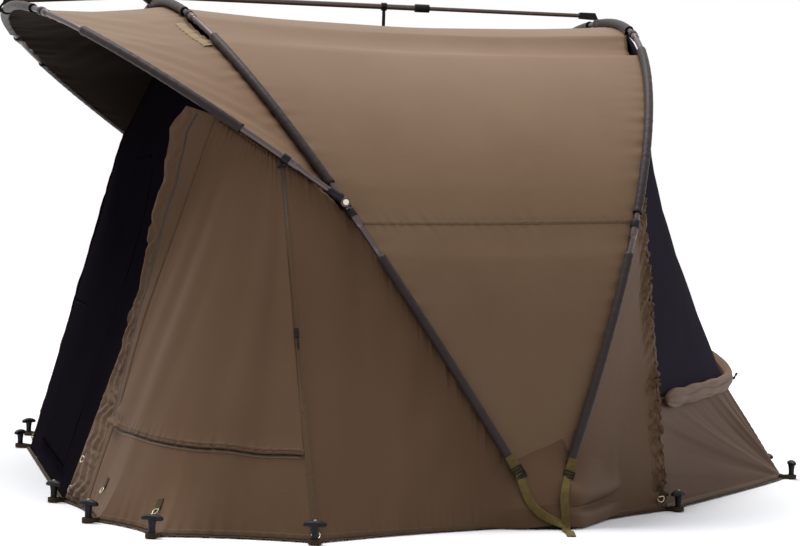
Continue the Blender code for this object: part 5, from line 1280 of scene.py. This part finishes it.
ZIP_SHARES, ZIP_PLACES = (0.0, 0.5, 0.7, 1.0), (0.56, 0.48, 0.20, 0.05)
DOOR_SHARES = (0.0, 0.06, 0.20, 0.28, 0.41, 0.46, 0.60, 1.0)
DOOR_REACHES = (0.057, 0.078, 0.046, 0.038, 0.015, 0.006, 0.0, 0.0)
# The storm door is the roof's cloth; its darker colour is the walls' painted shade.
SHADED_DOOR_CLOTH = coated_cloth("crumpled_brown_coated_polyester_in_painted_shade", "#6A523E", "#745C47", 16.0, 0.55, 0.55)
for side, hand in SIDES:
    gathered_door(hand, side)


# The ridge bar and the front bar. Anodised tube as the ribs are, the ridge bar telescopic; each lies
# over the ribs' tops and hooks on the outermost one, and both turn in the bracket on the front rib.
BAR_RADIUS, INNER_BAR_RADIUS, BAR_RISE = 0.0082, 0.0062, 0.026
RIDGE = np.array((0.0, -0.76169, 1.4181)), np.array((0.0, 1.0, -0.00224))
FRONT_BAR = np.array((0.0, -0.80969, 1.4181)), np.array((0.0, -0.99704, -0.07682))
RIDGE_REACH, FRONT_REACH, OUTER_SHARE, OVERLAP = 1.33312, 0.40933, 0.60, 0.350
BAR_START, EASE = -0.0095, 0.0012


def straight_tube(name, pivot, run, start, end, radius, body, *nodes):
    """A round tube along a straight run from the pivot, its ends eased."""
    run = unit(run)
    places = np.array([start, start + EASE, *np.linspace(start + 0.01, end - 0.01, 30), end - EASE, end])
    radii = np.full(len(places), radius)
    radii[[0, -1]] -= EASE
    across = np.tile((1.0, 0.0, 0.0), (len(places), 1))
    grid = round_section(pivot + places[:, None] * run, across, np.cross(across, run), radii, 28)
    piece = surface(name, grid, ANODISED_TUBE, around=True, capped=True)
    return dress(piece, body, "gunmetal_tube", *nodes)


outer_end = OUTER_SHARE * RIDGE_REACH
outer_span = (BAR_START, outer_end, BAR_RADIUS)
inner_span = (outer_end - OVERLAP, RIDGE_REACH - 0.002, INNER_BAR_RADIUS)
front_span = (BAR_START, FRONT_REACH - 0.01, BAR_RADIUS)
straight_tube("ridge_outer_tube", *RIDGE, *outer_span, "ridge_bar", "ridge_bar_outer")
straight_tube("ridge_inner_tube", *RIDGE, *inner_span, "ridge_bar_slider", "ridge_bar_inner")
straight_tube("front_bar_tube", *FRONT_BAR, *front_span, "front_bar", "front_bar")


def rounded(piece, width):
    """Rounds all the edges of a moulded block."""
    edge = piece.modifiers.new("rounded_edges", "BEVEL")
    edge.width = width
    edge.segments = 3
    return piece


def moulding(name, loop, half_width, pivot, run, body):
    """A moulded block: an outline of (along, up) in the bar's own plane, thickened along X."""
    run = unit(run)
    up = np.cross((1.0, 0.0, 0.0), run) * (1 if run[1] > 0 else -1)
    loop = np.array(loop)
    flat = pivot + loop[:, :1] * run + loop[:, 1:] * up
    widths = np.array((-1.0, 1.0))[:, None, None] * np.array((half_width, 0.0, 0.0))
    piece = surface(name, flat[None] + widths, BLACK_NYLON, around=True, capped=True)
    piece.data.polygons.foreach_set("use_smooth", [False] * len(piece.data.polygons))
    return dress(rounded(piece, 0.0016), body, "black_plastic")


def arc(centre, radius, start_deg, end_deg, count=14):
    """Points on an arc, as (along, up)."""
    turns = np.radians(np.linspace(start_deg, end_deg, count))
    return [(centre[0] + radius * np.cos(t), centre[1] + radius * np.sin(t)) for t in turns]


def rib_hook(name, reach, radius, pivot, run, body):
    """The hook on a bar's end: a socket block for the bar and a claw over the rib."""
    high, back = radius + 0.0032, reach - 0.045
    loop = [(back, -high), (back, high), (reach + 0.0032, high)]
    loop += arc((reach, -BAR_RISE), 0.0218, 60, -25) + arc((reach, -BAR_RISE), 0.0148, -25, 90)
    return moulding(name, loop, 0.0118, pivot, run, body)


rib_hook("front_hook", FRONT_REACH, BAR_RADIUS, *FRONT_BAR, "front_bar")
hook = rib_hook("rear_hook", RIDGE_REACH, INNER_BAR_RADIUS, *RIDGE, "ridge_bar_slider")
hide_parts("ridge_bar_hook")


# The moulded and turned parts whose CAD shapes are already true: the boots under the ribs, the swivel
# clamps and their bolts, the bracket, the bar's collar, the roof clip and the zip sliders.
def bright_metal(name, colour, pale, scale, detail, metallic, roughness):
    """Plated or rubbed steel: two shades in a fine cloudy pattern, its gloss even or as cloudy."""
    made, tree, place, _ = new_material(name)
    cloud = noise(tree, place, scale, detail)
    if isinstance(roughness, tuple):
        roughness = spread(tree, cloud, *roughness)
    paint = {"Base Color": ramp(tree, cloud, colour, pale), "Metallic": metallic, "Roughness": roughness}
    return finished(made, "ShaderNodeBsdfPrincipled", paint)


# Bright zinc plate: slightly yellow, with a cloudy spangle that is duller here and there.
ZINC_STEEL = bright_metal("bright_zinc_plated_steel", "#B9B09B", "#DAD4C4", 180.0, 5.0, 1.0, (0.22, 0.42))
KEPT_PARTS = dict.fromkeys(("front_apex_bracket", "ridge_bar_collar", "roof_clip"), BLACK_NYLON)
for _, hand in SIDES:
    for kept_name in ("base_hub", "swivel_clamp", "window_zip_slider"):
        KEPT_PARTS[f"{kept_name}_{hand}"] = BLACK_NYLON
    KEPT_PARTS[f"swivel_bolt_{hand}"] = ZINC_STEEL
for kept_name, finish in KEPT_PARTS.items():
    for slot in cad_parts[kept_name].material_slots:
        slot.material = finish


# The webbing at the hubs. Olive polyester webbing, 25 mm wide, is sewn round the foot of each pole
# sleeve and ends in a ladder lock; from the lock a slack strap goes down to the hub, and the spare end
# of the rear one lies out over the ground.
WEBBING_WIDTH, STRAP_WIDTH, WEBBING_THICKNESS = 0.025, 0.0225, 0.0016


def webbing_weave(name, colour, pale, rib_mm):
    """Polyester webbing: dull ribs across it, wider than the real 1 mm ones so that they show."""
    made, tree, place, uv = new_material(name)
    tint = ramp(tree, noise(tree, place, 45.0, 6.0, 0.7), colour, pale, 0.35, 0.70)
    paint = {"Base Color": tint, "Roughness": 0.8, "Specular IOR Level": 0.25}
    paint["Normal"] = bump(tree, bands(tree, uv, rib_mm, "Y", 0.5), 0.7, 0.0006)
    return finished(made, "ShaderNodeBsdfPrincipled", paint)


OLIVE_WEBBING = webbing_weave("olive_polyester_webbing", "#66582F", "#867444", 2.4)
BROWN_WEBBING = webbing_weave("brown_polyester_webbing", "#3A2F20", "#55452F", 2.4)


def smooth_line(points, count):
    """A smooth curve through a few points: a cubic through each four neighbours."""
    points = np.asarray(points, float)
    wide = np.concatenate([[2 * points[0] - points[1]], points, [2 * points[-1] - points[-2]]])
    place = np.linspace(0.0, len(points) - 1.000001, count)
    index = place.astype(int)
    t = (place - index)[:, None]
    a, b, c, d = (wide[index + k] for k in range(4))
    return b + 0.5 * t * (c - a + t * (2 * a - 5 * b + 4 * c - d + t * (3 * (b - c) + d - a)))


def webbing(name, line, face, width, finish, inside, side=1, curl=0.0, count=7):
    """A strip of webbing along a line, its broad side turned to a face, its rims a little curled."""
    across = np.linspace(-0.5, 0.5, count) * width
    grid = ribbon(line, face, np.stack([across, -curl * (np.abs(across) / width * 2) ** 4], 1))
    grid = on_side(grid, side)
    piece = surface(name, grid, finish, inside=tuple(inside))
    thicken(piece, WEBBING_THICKNESS, 0.0, "webbing")
    return piece, grid


def strap(name, points, faces, width, side, steps=90):
    """Olive webbing along a smooth line, its broad side turned to the given directions."""
    line = on_side(smooth_line(points, steps), side)
    face = on_side(unit(smooth_line(faces, steps)), side)
    inside = line.mean(axis=0) - face.mean(axis=0)
    return webbing(name, line, face, width, OLIVE_WEBBING, inside, curl=0.0005, count=9)


def boxes(name, blocks, middle, axes, side):
    """One black mesh of small moulded blocks, each (x, y, z, wide, long, thick) on the given axes."""
    corners, faces = [], []
    order = ((0, 1, 3, 2), (4, 6, 7, 5), (0, 4, 5, 1), (2, 3, 7, 6), (0, 2, 6, 4), (1, 5, 7, 3))
    signs = [(i, j, k) for i in (-0.5, 0.5) for j in (-0.5, 0.5) for k in (-0.5, 0.5)]
    for block in blocks:
        start = len(corners)
        place, size = np.array(block[:3]), np.array(block[3:])
        corners += [middle + (place + size * np.array(sign)) @ axes for sign in signs]
        faces += [tuple(start + k for k in face) for face in order]
    mesh = bpy.data.meshes.new(name)
    mesh.from_pydata(on_side(corners, side).tolist(), [], faces)
    mesh.materials.append(BLACK_NYLON)
    shape = bmesh.new()
    shape.from_mesh(mesh)
    bmesh.ops.recalc_face_normals(shape, faces=shape.faces)
    shape.to_mesh(mesh)
    shape.free()
    piece = bpy.data.objects.new(name, mesh)
    bpy.context.scene.collection.objects.link(piece)
    return piece


def ladder_lock(name, middle, run, body, side):
    """A moulded ladder lock: two rails, four bars with the webbing between them, and a thick lip."""
    out = np.array((1.0, 0.0, 0.0))
    axes = np.stack([np.cross(out, run), run, out])
    mm = [(x, 1.0, 0.0, 3.2, 31.0, 5.2) for x in (-14.0, 14.0)]
    mm += [(0.0, y, 0.2, 30.0, 2.8, 4.8) for y in (15.0, 6.5, -1.5)]
    mm += [(0.0, -9.0, 0.8, 28.6, 4.0, 6.2), (0.0, -15.5, 1.2, 29.0, 9.0, 8.4)]
    piece = boxes(name, np.array(mm) / 1000, middle, axes, side)
    dress(rounded(piece, 0.0013), body, "black_plastic")


FRONT_ROUTE = [(1.3235, 0.0335, 0.124), (1.3345, 0.053, 0.073), (1.3360, 0.088, 0.039)]
REAR_ROUTE = [(1.3240, 0.1495, 0.108), (1.3340, 0.1445, 0.076), (1.3360, 0.1475, 0.036)]
PHOTO_STRAPS = {
    "front": (FRONT, "tent", 0.132, FRONT_ROUTE),
    "rear": (REAR, "rear_rib", 0.101, REAR_ROUTE),
}
SPARE_END = [(1.341, 0.149, 0.0045), (1.362, 0.143, 0.0035), (1.405, 0.139, 0.0062)]
SPARE_END += [(1.440, 0.133, 0.0036), (1.468, 0.127, 0.0030)]
TAB_PLACES, TAB_OUT, LOCK_OUT = (0.048, 0.026, 0.008, -0.008), 0.0150, np.array((0.0030, 0.0, 0.0))
STRAP_FOOT = (1.3350, 0.1495, 0.011)


def hub_straps(hand, side):
    """Both straps of one hub: the sewn tabs, the locks, the slack straps and the spare end."""
    for label, (arch, body, centre, points) in PHOTO_STRAPS.items():
        tab = [on(arch, centre + ahead) + np.array((TAB_OUT, 0.0, 0.0)) for ahead in TAB_PLACES]
        piece, _ = strap(f"strap_tab_{label}_{hand}", tab, [(1, 0, 0)] * 4, WEBBING_WIDTH, side)
        dress(piece, body, "olive_webbing")
        lock = (tab[2] + tab[3]) / 2
        ladder_lock(f"ladder_lock_{label}_{hand}", lock + LOCK_OUT, unit(tab[0] - tab[3]), body, side)
        spare = SPARE_END if label == "rear" else []
        line = [lock, *points, STRAP_FOOT, *spare]
        flat = max(len(line) - 6, 0)
        faces = [(1, 0, 0.05)] * (len(line) - 1 - flat) + [(0.7, 0, 0.7)] + [(0, 0, 1)] * flat
        loose, grid = strap(f"strap_{label}_{hand}", line, faces, STRAP_WIDTH, side, 140)
        if label == "rear":
            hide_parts(f"base_strap_{hand}")
            bend_with(loose)
        else:
            dress(loose, "tent", "olive_webbing")


for side, hand in SIDES:
    hub_straps(hand, side)


# The hem tape. Olive-brown webbing is sewn along the foot of the cloth and across the doorway, and at
# each peg a loop of it stands on edge round the peg's foot.
HEM_TAPE_WIDTH, HEM_TAPE_GAP, HEM_TAPE_HEIGHT = 0.011, 0.0065, 0.0042
PEG_SETBACK, PULL_MIDDLE = 0.038, np.array((0.0, HUB_Y - 0.17 * 1.190))
LOOP_RADIUS, LOOP_WIDTH, LOOP_REACH, LOOP_HALF = 0.0150, 0.012, 0.036, 0.0105


def peg_frame(corner):
    """A peg's place just outside a corner of the hem, and the direction outwards there."""
    corner = np.asarray(corner, float)[:2]
    out = unit(corner - PULL_MIDDLE)
    return np.append(corner + out * PEG_SETBACK, 0.0), np.append(out, 0.0)


def hem_tape(name, line, replaced):
    """The tape along a hem, just outside it and a little over the ground, with slow waves in it."""
    length = travelled(line)
    even = np.linspace(0.0, length[-1], int(length[-1] / 0.006))
    line = softened(between_points(even, length, line), 4)
    outwards = line * np.array((1.0, 1.0, 0.0)) - np.array((0.0, HUB_Y, 0.0))
    ahead = unit(np.gradient(line, axis=0))
    aside = np.cross(ahead, (0.0, 0.0, 1.0))
    aside *= np.sign(np.sum(aside * outwards))
    line = line + aside * HEM_TAPE_GAP
    line[:, 2] = HEM_TAPE_HEIGHT + 0.0007 * waves(even, 131, 0.25)
    up = np.tile((0.0, 0.0, 1.0), (len(line), 1))
    piece, _ = webbing(name, line, up, HEM_TAPE_WIDTH, BROWN_WEBBING, (0.0, 0.1, -3.0))
    return dress(piece, "tent", "olive_webbing", replaced)


def peg_loop(name, corner, side):
    """A loop of webbing on edge: from the hem out past the peg, half round it, and back."""
    place, out = peg_frame(corner)
    across = np.array((-out[1], out[0], 0.0))
    turns = np.radians(np.linspace(-100.0, 100.0, 9))
    round_peg = [place + LOOP_RADIUS * (np.cos(t) * out + np.sin(t) * across) for t in turns]
    ends = [place - out * LOOP_REACH + across * sign * LOOP_HALF for sign in (-1.0, 1.0)]
    line = np.array([ends[0], *round_peg, ends[1]])
    line[:, 2] = np.array([0.0065, *([0.0080] * 9), 0.0065])
    line = smooth_line(line, 80)
    face = unit(np.cross(np.gradient(line, axis=0), (0.0, 0.0, 1.0)))
    style = (LOOP_WIDTH, BROWN_WEBBING, on_side(place, side), side)
    return dress(webbing(name, line, face, *style)[0], "tent", "olive_webbing")


REAR_PEG_COLUMN = 117
front_where = np.linspace(0.0, WALL_END, 900)
front_hem = hem_line(HEM_CORNERS, HEM_KNOTS, front_where, HEM_BOW)[::-1]
hem_tape("front_hem_tape", np.concatenate([front_hem, on_side(front_hem, -1)[::-1]]), "front_hem_webbing")
gusset_hem = hem_line(REAR_CORNERS, (0, 1), np.linspace(0.0, 1.0, 200), HEM_BOW / 2)
rear_hem = np.concatenate([gusset_hem, hem[1:-1], on_side(gusset_hem, -1)[::-1]])
hem_tape("rear_hem_tape", rear_hem, "rear_hem_webbing")
PEG_CORNERS = dict(zip(("door", "front_inner", "front_outer", "side_front"), HEM_CORNERS))
PEG_CORNERS |= {"side_rear": REAR_CORNERS[1], "rear": hem[REAR_PEG_COLUMN, :2]}
for label, corner in PEG_CORNERS.items():
    for side, hand in SIDES:
        peg_loop(f"peg_loop_{label}_{hand}", corner, side)


# The pegs. Black moulded T-pegs, driven in up to their heads: a waisted shaft, a flared foot on the
# webbing loop, an oval handle across the top and a small pale dot in its middle.
PEG_HEIGHT, PEG_HANDLE = 0.060, 0.058

# A small pale dot on top of the handle: pale and satin, with darker specks.
PALE_DOT = bright_metal("pale_dot_on_the_handle", "#A9A79F", "#F2F1EC", 900.0, 3.0, 0.3, 0.35)


def spun(name, centres, radii, one, two, finish, body, slot, side, *nodes):
    """Rings about a line of centres, each ring an ellipse on two directions, closed at both ends."""
    turns = np.linspace(0.0, 2 * np.pi, 28, endpoint=False)
    ring = np.cos(turns)[:, None] * one + np.sin(turns)[:, None] * two
    grid = on_side(centres[:, None] + radii[:, None, None] * ring, side)
    piece = surface(name, grid, finish, around=True, capped=True)
    return dress(piece, body, slot, *nodes)


def peg(label, hand, side, corner):
    """One peg: rings up the shaft, an oval handle that lies across the pull, and a small pale dot on top."""
    place, out = peg_frame(corner)
    across, up = np.array((-out[1], out[0], 0.0)), np.array((0.0, 0.0, 1.0))
    body = f"peg_{label}_{hand}"
    heights = np.array((0.2, 1.2, 3.2, 4.6, 8.0, 14.0, 24.0, 32.0, 40.0, 47.0, 51.0)) / 1000
    radii = np.array((9.0, 11.0, 12.4, 12.0, 9.6, 8.6, 8.4, 8.8, 9.8, 11.4, 11.6)) / 1000
    centres = place + heights[:, None] * up
    style = (BLACK_NYLON, body, "black_plastic", side)
    spun(f"peg_shaft_{label}_{hand}", centres, radii, across, out, *style, body)
    share = np.sin(np.linspace(-np.pi / 2, np.pi / 2, 25))
    thick = np.sqrt(np.clip(1 - share**2, 0.0006, 1.0)) ** 0.7
    centres = place + up * (PEG_HEIGHT - 0.0085) + (share * PEG_HANDLE / 2)[:, None] * across
    centres[:, 2] -= 0.0035 * share**2
    spun(f"peg_handle_{label}_{hand}", centres, thick, out * 0.0114, up * 0.0082, *style)
    heights = np.array((0.0, 1.6, 2.0, 2.1)) / 1000 + PEG_HEIGHT - 0.0012
    radii = np.array((3.6, 3.4, 2.4, 0.4)) / 1000
    style = (PALE_DOT, body, "zinc_steel", side)
    spun(f"peg_pale_dot_{label}_{hand}", place + heights[:, None] * up, radii, across, out, *style)


for label, corner in PEG_CORNERS.items():
    for side, hand in SIDES:
        peg(label, hand, side, corner)


# The guy points. Short tabs of webbing sewn to the foot of the walls hold steel D-rings, brass
# coloured by yellow zinc, for spare guy lines.
RING_HALF, RING_DEPTH, WIRE_RADIUS, TAB_WIDTH = 0.0105, 0.0125, 0.0014, 0.024

# Yellow-passivated zinc plate: a pale brassy metal, cloudy, rubbed paler here and there.
RING_METAL = bright_metal("yellow_zinc_plated_steel", "#A8996F", "#E3DAC0", 220.0, 4.0, 1.0, 0.34)


def guy_point(name, panel, across, down, side):
    """A tab down the cloth with a D-ring hanging in its foot, flat on the cloth."""
    grid, weights, other = PANELS[panel]
    place = pick(grid, across, down)
    face = unit(pick(normals(grid), across, down))
    ahead = unit(pick(grid, across, min(down + 0.01, 1.0)) - place)
    aside = np.cross(face, ahead)
    share = np.linspace(-1.0, 1.0, 30)[:, None]
    lift = 0.0016 + 0.0026 * np.clip((share + 0.3) / 1.3, 0, 1) ** 2
    line = place - ahead * 0.014 + ahead * 0.015 * share + face * lift
    tab_style = (TAB_WIDTH, BROWN_WEBBING, place - face)
    piece, _ = webbing(f"guy_tab_{name}", line, np.tile(face, (30, 1)), *tab_style)
    bend_with(piece)
    turns = np.radians(np.linspace(0.0, 180.0, 25))
    bow = [(RING_HALF * np.cos(t), 0.0025 + RING_DEPTH * np.sin(t)) for t in turns]
    flat = [(x, -0.0005) for x in np.linspace(-RING_HALF, RING_HALF, 9)[1:-1]]
    loop = np.array(bow + flat)
    centres = place + loop[:, :1] * aside + loop[:, 1:] * ahead + face * 0.0042
    centres = centres + face * 0.004 * np.clip(loop[:, 1:] / 0.015, 0, 1)
    run = unit(np.roll(centres, -1, axis=0) - np.roll(centres, 1, axis=0))
    out_of = np.cross(run, face)
    closed = np.concatenate([centres, centres[:1]])
    out_of, upright = np.concatenate([out_of, out_of[:1]]), np.tile(face, (len(closed), 1))
    ring = round_section(closed, out_of, upright, np.full(len(closed), WIRE_RADIUS), 12)
    ring_piece = surface(f"guy_ring_{name}", ring, RING_METAL, around=True)
    bend_with(ring_piece)


GUY_POINTS = {"a": (0.25, 0.88), "b": (0.15, 0.96), "c": (2.2, 0.93), "d": (4.6, 0.945), "e": (8.0, 0.978)}
for side, hand in SIDES:
    for label, (place_where, place_part) in GUY_POINTS.items():
        guy_point(f"{label}_{hand}", f"wall_{hand}", place_where / WALL_END, place_part, side)
    guy_point(f"tail_{hand}", f"tail_side_{hand}", 0.93, 0.955, side)


# The gathered edges and the toggles. Where the tubes run bare the hood's edge is drawn up on elastic
# into a crumpled strip, pale with painted highlight, and small moulded toggles on loops hold the flap and the
# rolled cloth.
TOGGLE_HALF = 0.012


def toggle(name, middle, along):
    """A turned barrel with a waist for its loop."""
    share = np.array((-1.0, -0.97, -0.8, -0.3, -0.16, 0.16, 0.3, 0.8, 0.97, 1.0))
    radii = np.array((1.0, 2.8, 3.4, 3.6, 2.4, 2.4, 3.6, 3.4, 2.8, 1.0)) / 1000
    one = unit(np.cross(along, (0.3, 0.2, 0.9)))
    centres = middle + share[:, None] * TOGGLE_HALF * along
    sideways = (np.tile(direction, (len(share), 1)) for direction in (one, np.cross(along, one)))
    grid = round_section(centres, *sideways, radii, 20)
    piece = surface(name, grid, BLACK_NYLON, around=True, capped=True)
    bend_with(piece)


# The strip is the hood's cloth; its pale colour is painted highlight.
LIT_GATHERED_EDGE = stitched_band("gathered_edge_with_painted_highlight", ("#8F7A5C", "#A58F6D"), 4.0)
STRIPS = {"peak": ((0.213, 0.262), 0.055), "front": ((0.222, 0.300), 0.925)}
for side, hand in SIDES:
    for label, (span, down) in STRIPS.items():
        places = span if side > 0 else [1 - place for place in span]
        style = (0.030, LIT_GATHERED_EDGE, 0.004, 0.0045)
        seam(f"gathered_edge_{label}_{hand}", "hood", places, (down, down), *style)
    grid, weights, other = PANELS[f"wall_{hand}"]
    place = pick(grid, WINDOW_SEAM / WALL_END, 0.02) + 0.008 * unit(pick(normals(grid), 0.47, 0.02))
    toggle(f"flap_toggle_{hand}", place, np.array((0.0, 0.94, 0.34)))
beside_nose = len(roll_line) // 2 - 8
place = roll_line[beside_nose] + outwards[kept][beside_nose] * 0.024
toggle("roll_toggle", place, np.array((0.0, 0.5, 0.866)))
